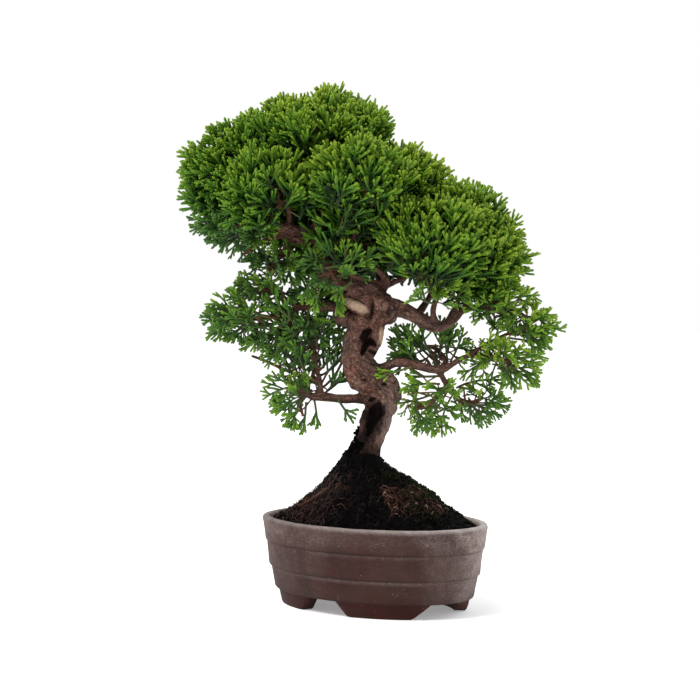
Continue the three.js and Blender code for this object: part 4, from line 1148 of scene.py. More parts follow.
# knots, folds and swellings of the old wood: u, v, y, r
BURLS = [
    [[341,297,-10,5],[348,301,-15,6.5],[357,306,-18,6.5],[365,311,-17,5]],
    [[372,296,-12,7],[380,302,-14,9],[387,311,-11,9],[386,321,-6,7]],
    [[352,318,-11,7],[360,322,-13,8],[370,322,-13,7.5]],
    [[340,306,-6,7],[343,315,-6,6.5],[350,321,-6,6]],
    [[384,376,-9,8],[390,385,-9,9.5],[391,394,-8,9.5],[389,403,-7,7.5]],
    [[352,376,-13,7],[362,384,-17,8.5],[374,388,-16,8]],
    [[350,352,-8,7],[348,362,-10,8],[354,372,-12,7]],
    [[368,396,-14,6],[376,400,-15,6.5],[384,408,-11,6]],
    [[384,420,-8,6],[379,436,-7,5.5],[373,450,-5,6]],
    [[371,408,-10,6],[368,424,-9,6.5],[364,440,-8,7.5]],
    [[330,272,-8,6],[338,280,-9,7],[346,286,-11,6]],
    [[366,300,16,9],[376,306,17,9],[384,314,12,7]],
    [[362,372,13,9],[374,380,16,9],[384,390,12,8]],
    [[369,420,10,6],[370,436,10,6],[370,450,8,7]],
    [[354,344,11,6],[358,356,12,7],[366,366,13,6]],
]


def build_trunk():
    thick = Build()
    for name, c in CENTRE.items():
        r = c[:, 3].copy()
        keep = r >= 1.0
        if keep.sum() < 4:
            continue
        c = c[: int(np.max(np.nonzero(keep)[0])) + 1]
        pts, r = c[:, :3].copy(), c[:, 3].copy()
        # old limbs are never quite round or straight
        wob = np.stack([noise(pts / 9.0, 101) - 0.5, noise(pts / 9.0, 103) - 0.5, noise(pts / 9.0, 107) - 0.5], -1)
        pts = pts + wob * np.minimum(r * 0.45, 1.4)[:, None]
        r = r * (0.94 + 0.3 * (noise(pts / 5.0, 109) - 0.5))
        thick.tube(pts, r, 20 if name == "trunk" else 12)
    for rows in BURLS:
        rows = np.array(rows, float)
        c = spline(np.column_stack([turn(place(rows[:, 0], rows[:, 1], rows[:, 2])), rows[:, 3] * UNIT]), 1.0)
        thick.tube(c[:, :3], c[:, 3] * (0.95 + 0.2 * (noise(c[:, :3] / 2.0, 113) - 0.5)), 12)
    me = thick.mesh("wood_raw")
    ob = bpy.data.objects.new("wood_raw", me)
    bpy.context.scene.collection.objects.link(ob)
    mod = ob.modifiers.new("r", "REMESH")
    mod.mode, mod.voxel_size, mod.adaptivity = "VOXEL", 0.00070, 0.0
    dg = bpy.context.evaluated_depsgraph_get()
    new = bpy.data.meshes.new_from_object(ob.evaluated_get(dg))
    bpy.data.objects.remove(ob)
    n = len(new.vertices)
    co = np.empty(n * 3, np.float32)
    new.vertices.foreach_get("co", co)
    V = (co.reshape(-1, 3).astype(float) - POT) * 1000
    f = np.empty(len(new.loops), np.int32)
    new.loops.foreach_get("vertex_index", f)
    Q = f.reshape(-1, 4)
    bpy.data.meshes.remove(new)
    # soften the remeshed wood with two smoothing passes
    E = np.vstack([Q[:, [0, 1]], Q[:, [1, 2]], Q[:, [2, 3]], Q[:, [3, 0]]])
    deg = np.bincount(E[:, 0], minlength=n) + np.bincount(E[:, 1], minlength=n)
    for _ in range(2):
        acc = np.zeros_like(V)
        for k in range(3):
            acc[:, k] = np.bincount(E[:, 0], V[E[:, 1], k], n) + np.bincount(E[:, 1], V[E[:, 0], k], n)
        V = V * 0.5 + 0.5 * acc / deg[:, None]

    def normals(V):
        fn = np.cross(V[Q[:, 2]] - V[Q[:, 0]], V[Q[:, 3]] - V[Q[:, 1]])
        N = np.zeros_like(V)
        for c in range(4):
            for k in range(3):
                N[:, k] += np.bincount(Q[:, c], fn[:, k], n)
        return N / (np.linalg.norm(N, axis=1, keepdims=True) + 1e-9)

    N = normals(V)
    # where each point lies along and round its limb
    cp, ct, cn, cb, cr, cs, cid = [], [], [], [], [], [], []
    for k, (name, c) in enumerate(CENTRE.items()):
        d, nn, bb = frames(c[:, :3])
        s = np.concatenate([[0], np.cumsum(np.linalg.norm(np.diff(c[:, :3], axis=0), axis=1))])
        cp.append(c[:, :3]); ct.append(d); cn.append(nn); cb.append(bb); cr.append(c[:, 3]); cs.append(s); cid.append(np.full(len(c), k))
    cp, ct, cn, cb, cr, cs, cid = (np.concatenate(x) for x in (cp, ct, cn, cb, cr, cs, cid))
    best = np.empty(n, np.int64)
    for a in range(0, n, 8000):
        d = np.linalg.norm(V[a:a + 8000, None, :] - cp[None, :, :], axis=2) - cr[None, :] * 0.9
        best[a:a + 8000] = np.argmin(d, axis=1)
    rel = V - cp[best]
    along = np.einsum("ij,ij->i", rel, ct[best])
    ang = np.arctan2(np.einsum("ij,ij->i", rel, cb[best]), np.einsum("ij,ij->i", rel, cn[best]))
    R = cr[best]
    S = cs[best] + along
    k_id = cid[best].astype(float)
    twist = ang + S * 0.035
    big = np.clip((R - 2.0) / 5.0, 0, 1)
    cyl = np.stack([np.cos(twist) * 1.9, np.sin(twist) * 1.9, S / 13.0 + k_id * 7.3], -1)
    warp = (noise(V / 6.0, 131) - 0.5)[:, None] * 0.9
    ridge = ridged(cyl + warp, 137, 2)
    cyl2 = np.stack([np.cos(twist) * 4.6, np.sin(twist) * 4.6, S / 5.0 + k_id * 3.1], -1)
    fine = ridged(cyl2 + warp * 1.4, 139, 2)
    lump = fbm(V / 7.5, 149, 3) - 0.5
    folds = ridged(V / 8.5 + warp * 0.8, 151, 2)
    crease = ridged(V / 3.4 + warp * 1.6, 157, 2)
    disp = big * (0.8 * (ridge - 0.62) + 0.2 * (fine - 0.6) + 2.1 * (folds - 0.62) + 0.5 * (crease - 0.6)) + (1 - big) * R * 0.12 * (fine - 0.5) + lump * (2.2 * big + 0.22 * R * (1 - big))
    micro = ridged(np.stack([np.cos(twist) * 9.0, np.sin(twist) * 9.0, S / 2.6 + k_id * 3.1], -1) + warp * 2.0, 141, 2)
    disp += big * 0.14 * (micro - 0.6)
    # painted shade: a mask for the low parts between folds, creases and ridges, darkened in the bark
    groove_shade = np.clip((0.46 - folds) / 0.14, 0, 1) * big + np.clip((0.40 - crease) / 0.14, 0, 1) * 0.8 * big
    groove_shade += np.clip((0.44 - ridge) / 0.16, 0, 1) * 0.5 * big + np.clip((0.42 - fine) / 0.2, 0, 1) * 0.22
    dead = np.zeros(n)
    cav = np.zeros(n)

    def at(u, v, y=None, r=0.0):
        return turn(place(u, v, y))

    def gauss(c, rad, stretch=None):
        q = (V - c)
        if stretch is not None:
            ax, k = stretch
            ax = turn(np.array(ax, float))
            ax = ax / np.linalg.norm(ax)
            t = q @ ax
            q = q - np.outer(t, ax) * (1 - 1 / k)
        return np.exp(-np.einsum("ij,ij->i", q, q) / (2 * rad * rad))

    # knots, stubs and old pruning scars on the trunk: u, v, y, radius, height
    for u, v, y, rad, hgt in (
        (343, 316, -8, 3.2, 2.6), (396, 391, -6, 3.6, 1.8), (386, 303, -12, 3.8, 1.8), (350, 386, -14, 3.0, 1.4),
        (364, 400, -14, 3.0, 1.6), (377, 330, -10, 2.4, 1.0), (352, 330, -10, 2.2, 1.3), (390, 372, -10, 2.6, 1.2),
        (330, 268, -2, 2.6, 1.2), (392, 318, -10, 2.4, 1.2), (360, 430, -14, 2.6, 1.2), (374, 300, 14, 3.6, 2.0),
        (372, 386, 16, 3.6, 1.8), (358, 350, 14, 3.0, 1.4), (374, 420, 14, 3.0, 1.6), (345, 286, 12, 2.8, 1.4)):
        disp += hgt * gauss(at(u, v, y), rad)
    for u, v, y, rad in ((363, 353, -14, 2.6), (364, 379, -20, 3.2), (379, 402, -18, 2.6), (330, 300, 12, 2.4), (376, 372, 16, 3.0)):
        d = np.linalg.norm(V - at(u, v, y), axis=1)
        disp += 0.9 * np.exp(-((d - rad) / 0.7) ** 2) - 1.0 * np.exp(-(d / (rad * 0.62)) ** 2)
        groove_shade = np.maximum(groove_shade, 0.9 * np.exp(-(d / (rad * 0.55)) ** 2))
    # deadwood: a strip up the right and a rounded boss on the big knot
    for u, v, y, rad, k, hgt, ax in ((381, 336, -15, 1.2, 3.0, 0.3, (0.1, 0, 1)), (357, 306, -21, 1.9, 2.6, 1.3, (1, 0, -0.45)), (388, 356, -10, 1.2, 2.0, 0.3, (0.3, 0, 1))):
        g = gauss(at(u, v, y), rad, (ax, k))
        disp += hgt * g
        dead = np.maximum(dead, np.clip(g * 2.4 - 0.5, 0, 1))
    soft = np.clip((V[:, 2] - 60) / 40, 0, 1)
    V = V + N * (disp * (0.35 + 0.65 * np.maximum(soft, big)))[:, None]
    vv = unturn(V)
    # hollows rotted into the wood: column, row, half width, half height, lean, depth, seen from the front or the back
    Nv = unturn(N)
    rag = 1.1 * (fbm(V / 2.6, 191, 3) - 0.5)
    push = np.zeros(n)
    for u, v, hw, hh, ln, dep, way in (
        (366, 333, 3.2, 3.6, 0.3, 6.0, 1), (369.5, 341, 4.4, 2.6, -0.3, 5.6, 1), (365, 347, 2.4, 4.2, 0.35, 4.4, 1), (373, 352, 3.0, 1.6, -0.4, 3.0, 1), (375.5, 413, 4.4, 7.8, 0.2, 5.4, 1), (372, 422, 3.6, 4.0, 0.3, 4.4, 1), (370, 428, 2.0, 5.0, 0.2, 3.4, 1), (362, 353, 1.2, 1.4, 0, 1.8, 1),
        (384, 383.5, 1.8, 1.1, 0, 2.2, 1), (372, 398, 2.6, 1.2, 0.2, 2.4, 1), (365, 379.5, 1.0, 1.1, 0, 1.4, 1), (345, 292, 1.8, 1.2, 0, 2.0, 1), (356, 299.5, 4.6, 0.8, -0.6, 1.6, 1),
        (372, 310, 0.9, 5.0, 0.1, 1.8, 1), (360, 446, 2.2, 3.0, 0.3, 2.4, 1), (368, 342, 2.6, 5.5, 0.1, 4.0, -1), (378, 400, 2.8, 5.0, 0.1, 3.6, -1), (352, 300, 2.4, 2.4, 0, 2.6, -1)):
        c = place(u, v, 0.0)
        x = (vv[:, 0] - c[0]) - ln * (vv[:, 2] - c[2])
        q = (x / hw) ** 2 + ((vv[:, 2] - c[2] - ln * x) / hh) ** 2 + rag
        face = np.clip(-Nv[:, 1] * way * 2.0, 0, 1) * (vv[:, 1] * way < 3)
        m_ = np.clip((1.12 - q) / 0.45, 0, 1) * face
        m_ = m_ * m_ * (3 - 2 * m_)
        push = np.where(m_ * dep > np.abs(push), m_ * dep * way, push)
        cav = np.maximum(cav, np.clip(m_ * 1.3 - 0.1, 0, 1))
    vv[:, 1] += push
    V = turn(vv)
    # damp dark lower trunk, more on the left and by the soil
    zz = place(370, np.array([396.0, 405.0, 430.0, 445.0, 462.0]), 0)[:, 2]
    uu = place(np.array([376.0, 386.0, 381.0, 372.0, 368.0]), 420, 0)[:, 0]
    edge = np.interp(vv[:, 2], zz[::-1], uu[::-1])
    low = np.clip((zz[0] + 1 - V[:, 2]) / 6, 0, 1)
    leftness = np.clip((edge - vv[:, 0]) / 2.2 + 0.5 + 1.2 * (noise(V / 3.0, 173) - 0.5), 0, 1)
    wet = np.clip(low * leftness + np.clip((99 - V[:, 2]) / 5, 0, 1) * 0.9, 0, 1)
    wet = np.clip(wet * (0.8 + 0.5 * (noise(V / 4.0, 171) - 0.3)), 0, 1)
    tan = low * (1 - leftness) * np.clip((vv[:, 2] - 96) / 6, 0, 1)
    for u, v, y, rad, k in ((391, 391, -8, 4.6, 1.3), (348, 356, -6, 3.0, 2.6), (352, 336, -4, 2.4, 1.6)):
        tan = np.maximum(tan, 0.8 * gauss(at(u, v, y), rad, ((0.1, 0, 1), k)))
    tan = np.clip(tan * (0.7 + 0.6 * noise(V / 3.5, 179)), 0, 1)
    # painted shade: the rotted hollows join the same mask
    groove_shade = np.clip(np.maximum(groove_shade, cav * 1.15), 0, 1)
    young = np.clip((3.2 - R) / 2.0, 0, 1)
    me = make_mesh("trunk_wood", metres(V), Q, attrs={"groove_shade": groove_shade, "dead": dead, "wet": wet, "young": young, "tan": tan})
    size_r = np.clip(R, 1.5, 12)
    flow = np.stack([np.cos(twist) * size_r, np.sin(twist) * size_r + k_id * 31.0, S * 0.5], -1)
    a = me.attributes.new("flow", "FLOAT_VECTOR", "POINT")
    a.data.foreach_set("vector", np.ascontiguousarray(flow, np.float32).ravel())
    return add_object("trunk_wood", me, MAT["bark"], ("trunk_and_branches",))


# ------------------------------------------------------------------ sprays of scale leaves
class Spray:
    """One spray of blunt forking cords, grown along +Z from the origin."""

    def __init__(self, seed, kind, length, radius):
        self.g = np.random.default_rng(seed)
        self.v, self.t, self.p, self.uv, self.n = [], [], [], [], 0
        self.radius = radius
        self.span = {"tuft": 17.0, "open": 20.0, "fan": 30.0, "wisp": 28.0}[kind]  # mm from a tip at which a cord is at its darkest
        if kind == "fan":
            self.fan(length)
        elif kind == "wisp":
            self.wisp(length)
        else:
            self.tuft(length, kind)
        self.V = np.vstack(self.v)
        self.T = np.vstack(self.t)
        self.P = np.vstack(self.p)
        self.UV = np.vstack(self.uv)

    def cord(self, pts, radius):
        """A cord along pts whose last point is a growing tip, ringed by overlapping scales."""
        sides = 5
        s = np.concatenate([[0], np.cumsum(np.linalg.norm(np.diff(pts, axis=0), axis=1))])
        L = s[-1]
        ft = [0.0, 0.42]
        while ft[-1] < L:
            ft.append(ft[-1] + (0.88 if ft[-1] < 8 else 2.3))
        ft[-1] = L
        ft = np.array(ft[::-1])
        n = len(ft)
        c = np.stack([np.interp(L - ft, s, pts[:, k]) for k in range(3)], -1)
        r = radius * np.where(np.arange(n) % 2 == 0, 1.08, 0.86) * (1 - 0.012 * np.clip(8 - ft, 0, 8))
        r[ft > 8] = radius * 0.9
        r[-1] = radius * 0.56
        r[-2] = radius * 0.92
        d, N, B = frames(c)
        a = np.arange(sides) / sides * 2 * math.pi
        spin = np.arange(n) * (math.pi / sides)
        ca, sa = np.cos(a[None, :] + spin[:, None]), np.sin(a[None, :] + spin[:, None])
        ring = c[:, None, :] + N[:, None, :] * (ca * r[:, None])[..., None] + B[:, None, :] * (sa * r[:, None])[..., None]
        base, k = self.n, n * sides
        self.v.append(ring.reshape(-1, 3))
        self.v.append((c[-1] + d[-1] * r[-1] * 0.8)[None, :])
        i = np.arange(n - 1)[:, None] * sides
        j = np.arange(sides)[None, :]
        jn = (j + 1) % sides
        t1 = np.stack([i + j, i + jn, i + sides + j], -1).reshape(-1, 3)
        t2 = np.stack([i + jn, i + sides + jn, i + sides + j], -1).reshape(-1, 3)
        jj = np.arange(sides)
        e = (n - 1) * sides
        cap = np.stack([np.full(sides, k), e + jj, e + (jj + 1) % sides], -1)
        self.t.append(np.vstack([t1, t2, cap]) + base)
        self.p.append((jj[::-1] + base)[None, :])
        u = 1 - np.clip(ft / self.span, 0, 1)
        tone = self.g.random() * 0.16
        uu = np.repeat(u, sides)
        vv = np.tile(np.abs(np.arange(sides) / sides * 2 - 1) * 0.05, n) + tone
        self.uv.append(np.stack([uu, vv], -1))
        self.uv.append(np.array([[u[-1], tone + 0.025]]))
        self.n += k + 1

    @staticmethod
    def path(p, d0, d1, length, n):
        """From p, starting along d0 and ending along d1."""
        out = [np.asarray(p, float)]
        for k in range(n - 1):
            t = (k + 0.5) / (n - 1)
            d = d0 * (1 - t) + d1 * t
            out.append(out[-1] + d / np.linalg.norm(d) * length / (n - 1))
        return np.array(out)

    def at(self, pts, share):
        x = share * (len(pts) - 1)
        i = min(int(x), len(pts) - 2)
        t = pts[i + 1] - pts[i]
        return pts[i] + t * (x - i), t / np.linalg.norm(t)

    def forks(self, pts, length, count, w, lean, first=0.3, last=0.85, grow=1.0):
        g = self.g
        side = 1 if g.random() < 0.5 else -1
        for k in range(count):
            share = first + (last - first) * (k + 0.35 * g.random()) / max(1, count)
            c, t = self.at(pts, share)
            ww = w - t * np.dot(w, t)
            ww /= np.linalg.norm(ww) + 1e-9
            a = math.radians(lean + 14 * (g.random() - 0.5))
            e = t * math.cos(a) + ww * side * math.sin(a) + (g.random(3) - 0.5) * 0.22
            ln = max(2.0, (1 - share) * length * (0.55 + 0.45 * g.random()) * grow + 0.8)
            self.cord(self.path(c, e, e * 0.5 + t, ln, 4), self.radius * (0.86 + 0.1 * g.random()))
            side = -side

    def tuft(self, L, kind):
        """Upright fingers: side cords leave the stem low down and bend up beside it."""
        g = self.g
        tight = kind == "tuft"
        axis = np.array([0.0, 0.0, 1.0])
        tilt = np.array([g.random() - 0.5, g.random() - 0.5, 0]) * 0.35
        main = self.path(np.zeros(3), axis - tilt, axis + tilt, L, 8)
        self.cord(main, self.radius)
        self.forks(main, L * 0.6, 2, np.array([math.cos(L), math.sin(L), 0]), 36, 0.5, 0.82)
        n = 6 if tight else 5
        for k in range(n):
            share = 0.14 + 0.5 * (k + 0.6 * g.random()) / n
            c, t = self.at(main, share)
            az = k * 2.4 + g.random() * 0.9
            w = np.array([math.cos(az), math.sin(az), 0.0])
            open_ = math.radians((10 + 24 * g.random()) if tight else (22 + 28 * g.random()))
            start = math.radians(50 if tight else 58)
            d0 = axis * math.cos(start) + w * math.sin(start)
            d1 = axis * math.cos(open_) + w * math.sin(open_)
            ln = (L * (1 - share)) * (0.72 + 0.44 * g.random())
            pts = self.path(c, d0, d1, ln, 6)
            self.cord(pts, self.radius * (0.9 + 0.12 * g.random()))
            q = np.cross(d1, w) * (0.4 + g.random()) + w * (g.random() - 0.3)
            self.forks(pts, ln, int(g.integers(1, 3)), q, 34, 0.42, 0.8, 1.15)

    def antler(self, pts, length, w, leafy):
        """Slender forks left and right of the last part of a stem."""
        g = self.g
        side = 1 if g.random() < 0.5 else -1
        x = max(length - leafy, 0.22 * length) + 0.8 * g.random()
        while x < length - 2.0:
            c, t = self.at(pts, x / length)
            ww = w - t * np.dot(w, t)
            ww /= np.linalg.norm(ww) + 1e-9
            a = math.radians(38 + 16 * (g.random() - 0.5))
            e = t * math.cos(a) + ww * side * math.sin(a) + (g.random(3) - 0.5) * 0.3
            ln = min(8.5, 2.0 + (length - x) * 0.62) * (0.75 + 0.4 * g.random())
            q = self.path(c, e, e * 0.6 + t * 0.55, ln, 4)
            self.cord(q, self.radius * (0.9 + 0.1 * g.random()))
            if ln > 4.6 and g.random() < 0.6:
                c2, t2 = self.at(q, 0.4 + 0.25 * g.random())
                e2 = t2 * 0.8 + ww * side * 0.6 * (1 if g.random() < 0.6 else -1) + (g.random(3) - 0.5) * 0.3
                self.cord(self.path(c2, e2, e2 + t2 * 0.5, 1.9 + 1.5 * g.random(), 3), self.radius * 0.88)
            side = -side
            x += 2.7 + 1.6 * g.random()

    def wisp(self, L):
        """One long bare stem with a few slender forks at its end."""
        g = self.g
        axis = np.array([0.0, 0.0, 1.0])
        tilt = np.array([g.random() - 0.5, g.random() - 0.5, 0]) * 1.1
        main = self.path(np.zeros(3), axis - tilt, axis + tilt, L, 10)
        self.cord(main, self.radius)
        w = np.array([1.0, 0.0, 0.0])
        self.antler(main, L, w, min(13.0, 0.55 * L))
        c, t = self.at(main, 0.3 + 0.2 * g.random())
        side = 1 if g.random() < 0.5 else -1
        d0 = t * 0.75 + w * side * 0.65 + np.array([0, g.random() - 0.5, 0]) * 0.4
        ln = 0.45 * L
        pts = self.path(c, d0, d0 * 0.6 + t * 0.5, ln, 6)
        self.cord(pts, self.radius * 0.94)
        self.antler(pts, ln, np.cross(np.cross(t, w), d0), min(8.0, 0.7 * ln))

    def fan(self, L):
        """A loose flat fan: bare stems that end in antler-like shoots."""
        g = self.g
        axis = np.array([0.0, 0.0, 1.0])
        tilt = np.array([g.random() - 0.5, g.random() - 0.5, 0]) * 0.8
        main = self.path(np.zeros(3), axis - tilt, axis + tilt, L, 9)
        self.cord(main, self.radius * 0.9)
        w = np.array([1.0, 0.0, 0.0])
        self.antler(main, L, w, 12.0)
        n = max(3, int(L * 0.6 / 5.4))
        side = 1
        for k in range(n):
            share = 0.28 + 0.6 * (k + 0.5 * g.random()) / n
            c, t = self.at(main, share)
            a = math.radians(50 + 18 * (g.random() - 0.5))
            q = w * side + np.array([0, (g.random() - 0.5) * 0.9, 0])
            q /= np.linalg.norm(q)
            d0 = t * math.cos(a) + q * math.sin(a)
            ln = float(np.clip(L * (1 - share) * (0.66 + 0.42 * g.random()), 7.0, 19.0))
            pts = self.path(c, d0, d0 * 0.75 + t * 0.45, ln, 6)
            self.cord(pts, self.radius * 0.86)
            self.antler(pts, ln, np.cross(np.cross(t, q), d0) + np.array([0, (g.random() - 0.5) * 0.5, 0]), 10.0)
            side = -side


def spray_sets():
    crown = [Spray(100 + k, "tuft", 19 + 7 * ((k * 7) % 5) / 4, 0.85) for k in range(18)]
    mid = [Spray(200 + k, "open", 18 + 8 * ((k * 3) % 5) / 4, 0.84) for k in range(16)]
    fringe = [Spray(400 + k, "fan", 20 + 9 * ((k * 3) % 5) / 4, 0.80) for k in range(18)]
    loose = [Spray(300 + k, "fan", 29 + 12 * ((k * 3) % 5) / 4, 0.78) for k in range(20)]
    wisp = [Spray(500 + k, "wisp", 16 + 22 * ((k * 5) % 7) / 6, 0.82) for k in range(16)]
    return {"crown": crown, "mid": mid, "fringe": fringe, "loose": loose, "wisp": wisp}


# how strongly the shoots of each cushion turn up, and how far they lean away from the trunk
RISE = {
    "foliage_apex": (1.05, 0.2), "foliage_apex_left": (0.75, 0.45), "foliage_left_tip": (0.12, 1.0), "foliage_front_centre": (0.95, 0.1),
    "foliage_front_left": (0.7, 0.35), "foliage_left_low": (0.0, 0.75), "foliage_right_shoulder": (0.85, 0.35), "foliage_right_upper": (0.85, 0.4),
    "foliage_right_front": (0.9, 0.25), "foliage_right_outer": (0.6, 0.6), "foliage_centre": (0.7, 0.1), "foliage_front_low": (0.6, 0.1),
    "foliage_right_under": (0.3, 0.3), "foliage_left_inner": (0.1, 0.4), "foliage_left_hang": (-0.1, 0.7), "foliage_left_under": (-0.1, 0.4),
    "foliage_right_lower": (0.4, 0.6), "foliage_right_tip": (0.2, 0.9), "foliage_left_tuft": (0.3, 0.8), "foliage_left_mid": (0.05, 0.6),
    "foliage_left_foot": (-0.2, 0.5), "foliage_right_low": (0.0, 0.7), "foliage_right_mid": (0.1, 0.4), "foliage_right_drop": (-0.5, 0.3),
    "foliage_right_hem": (-0.25, 0.5), "foliage_back_top": (0.9, 0.2), "foliage_back_left": (0.6, 0.4), "foliage_back_right": (0.75, 0.3),
    "foliage_back_low": (0.3, 0.3),
}


def orient(d, roll):
    """Rotation that takes +Z to d."""
    d = d / np.linalg.norm(d)
    x = np.cross([0.2, 0.1, 0.97], d)
    if np.linalg.norm(x) < 1e-3:
        x = np.array([1.0, 0, 0])
    x /= np.linalg.norm(x)
    y = np.cross(d, x)
    c, s = math.cos(roll), math.sin(roll)
    return np.stack([x * c + y * s, -x * s + y * c, d], 1)


def facing(d):
    """Roll that turns a spray's flat side to the front of the tree."""
    d = d / np.linalg.norm(d)
    x = np.cross([0.2, 0.1, 0.97], d)
    x /= np.linalg.norm(x) + 1e-9
    y = np.cross(d, x)
    return math.atan2(-x[1], y[1])


# single sprays that stand clear of the others: root and tip as column, row, depth, then how dark
WISPS = {
    "foliage_left_mid": [(316, 392, 2, 345, 330, 8, .62), (320, 388, 4, 349, 350, 6, .66), (312, 380, 4, 331, 318, 10, .6), (318, 372, 0, 347, 312, 12, .66),
                         (322, 396, 2, 343, 372, 4, .6), (300, 378, 2, 276, 330, 4, .5), (306, 384, 0, 290, 340, -6, .46), (292, 372, 2, 264, 346, 0, .44),
                         (310, 392, 6, 300, 352, 12, .6), (326, 392, 8, 352, 365, 14, .68), (318, 350, 6, 300, 312, 10, .55), (318, 340, 10, 332, 300, 18, .62),
                         (316, 360, 6, 288, 322, 8, .5), (314, 350, 14, 346, 322, 20, .7), (320, 376, 12, 350, 342, 18, .7)],
    "foliage_left_tuft": [(262, 322, -6, 204, 304, -8, .3), (262, 318, -4, 212, 322, -10, .36), (252, 326, 0, 222, 342, -8, .4), (262, 330, 0, 240, 352, -8, .42),
                          (284, 318, 0, 236, 298, -10, .34), (286, 324, -2, 250, 352, -12, .44), (290, 330, 2, 264, 368, -10, .46), (300, 330, 4, 262, 298, -6, .42),
                          (296, 316, 6, 270, 290, 4, .46), (306, 326, 4, 282, 352, -6, .5), (280, 312, 4, 246, 288, 6, .46)],
    "foliage_left_foot": [(300, 392, -8, 266, 374, -8, .4), (302, 398, -8, 270, 414, -8, .34), (303, 404, -10, 286, 430, -10, .3), (306, 402, -8, 302, 436, -8, .4),
                          (314, 398, -8, 318, 430, -8, .5), (338, 400, -10, 354, 424, -14, .56), (296, 386, -6, 262, 400, -6, .36)],
    "foliage_right_mid": [(425, 366, 4, 390, 326, 8, .54), (432, 366, 6, 402, 322, 12, .54), (420, 362, 0, 386, 345, 6, .50), (440, 366, 8, 420, 318, 14, .54),
                          (448, 362, 6, 446, 322, 10, .46), (428, 366, 2, 398, 352, 4, .46), (450, 362, 0, 464, 326, 4, .39), (416, 364, -6, 404, 338, -4, .34),
                          (436, 362, 14, 410, 336, 22, .56), (456, 352, 8, 436, 320, 20, .52), (430, 368, 12, 388, 362, 14, .52)],
    "foliage_right_drop": [(412, 367, -14, 375, 379, -20, .16), (447, 388, -12, 396, 404, -10, .16), (447, 392, -12, 412, 434, -8, .2), (452, 396, -12, 442, 438, -8, .24),
                           (440, 384, -12, 398, 390, -16, .2), (446, 386, -12, 424, 420, -14, .3), (440, 376, -10, 404, 376, -8, .4)],
    "foliage_back_left": [(300, 240, 34, 296, 198, 40, .72), (310, 238, 34, 312, 196, 40, .74), (322, 238, 30, 326, 200, 36, .74), (296, 232, 30, 284, 204, 36, .7),
                          (330, 240, 34, 338, 204, 38, .74), (306, 246, 30, 304, 214, 36, .76), (316, 244, 28, 318, 210, 32, .76), (292, 236, 40, 300, 204, 46, .7)],
    "foliage_front_low": [(324, 280, -24, 313, 316, -28, .3), (334, 284, -26, 342, 318, -30, .3), (316, 276, -22, 300, 304, -26, .36), (326, 268, -30, 352, 258, -34, .4),
                          (352, 282, -28, 330, 300, -30, .36)],
}

PAD_LIST = []
for _name, (u_, v_, y_, a_, b_, c_, lean_, look_) in PADS.items():
    l_ = math.radians(lean_)
    axes = np.array([[math.cos(l_), 0, -math.sin(l_)], [0, 1, 0], [math.sin(l_), 0, math.cos(l_)]])  # rows: own x, y, z in the tree's frame
    PAD_LIST.append((_name, place(u_, v_, y_), axes, np.array([a_, b_, c_]) * UNIT, look_))


def inside_other(p, index):
    """How deep a point is in the pads other than its own: 1 on a surface, 0 at a centre."""
    best = 9.0
    for k, (_, c, ax, r, _l) in enumerate(PAD_LIST):
        if k == index:
            continue
        q = (ax @ (p - c)) / r
        best = min(best, math.sqrt(q @ q))
    return best


def project(p):
    """Column and row, in the tables' units, of a point in the tree's frame."""
    d = np.asarray(p, float) - np.array(EYE)
    c, s = math.cos(TILT), math.sin(TILT)
    fw = d[..., 1] * c - d[..., 2] * s
    up = d[..., 1] * s + d[..., 2] * c
    return 350 + FPX * d[..., 0] / fw, 350 - FPX * up / fw


# openings in the front of the crown where limbs show: column and row ranges, and the share of sprays left out
BARE = [(280, 330, 198, 245, 0.9), (330, 402, 276, 336, 1.0), (336, 402, 330, 480, 1.0), (396, 468, 302, 330, 0.65),
        (384, 470, 350, 378, 0.55), (300, 352, 388, 404, 0.6), (322, 352, 240, 300, 0.5), (392, 430, 276, 304, 0.6)]


def bare(p, roll):
    if p[1] > 4:
        return False
    u, v = project(p)
    return any(a < u < b and c < v < d and roll < k and (v > 250 or p[1] < -8) for a, b, c, d, k in BARE)


def twig_points():
    pts = np.vstack([unturn(c[c[:, 3] < 3.6][:, :3]) for n, c in CENTRE.items() if not n.startswith("r") and (c[:, 3] < 3.6).any()])
    return pts


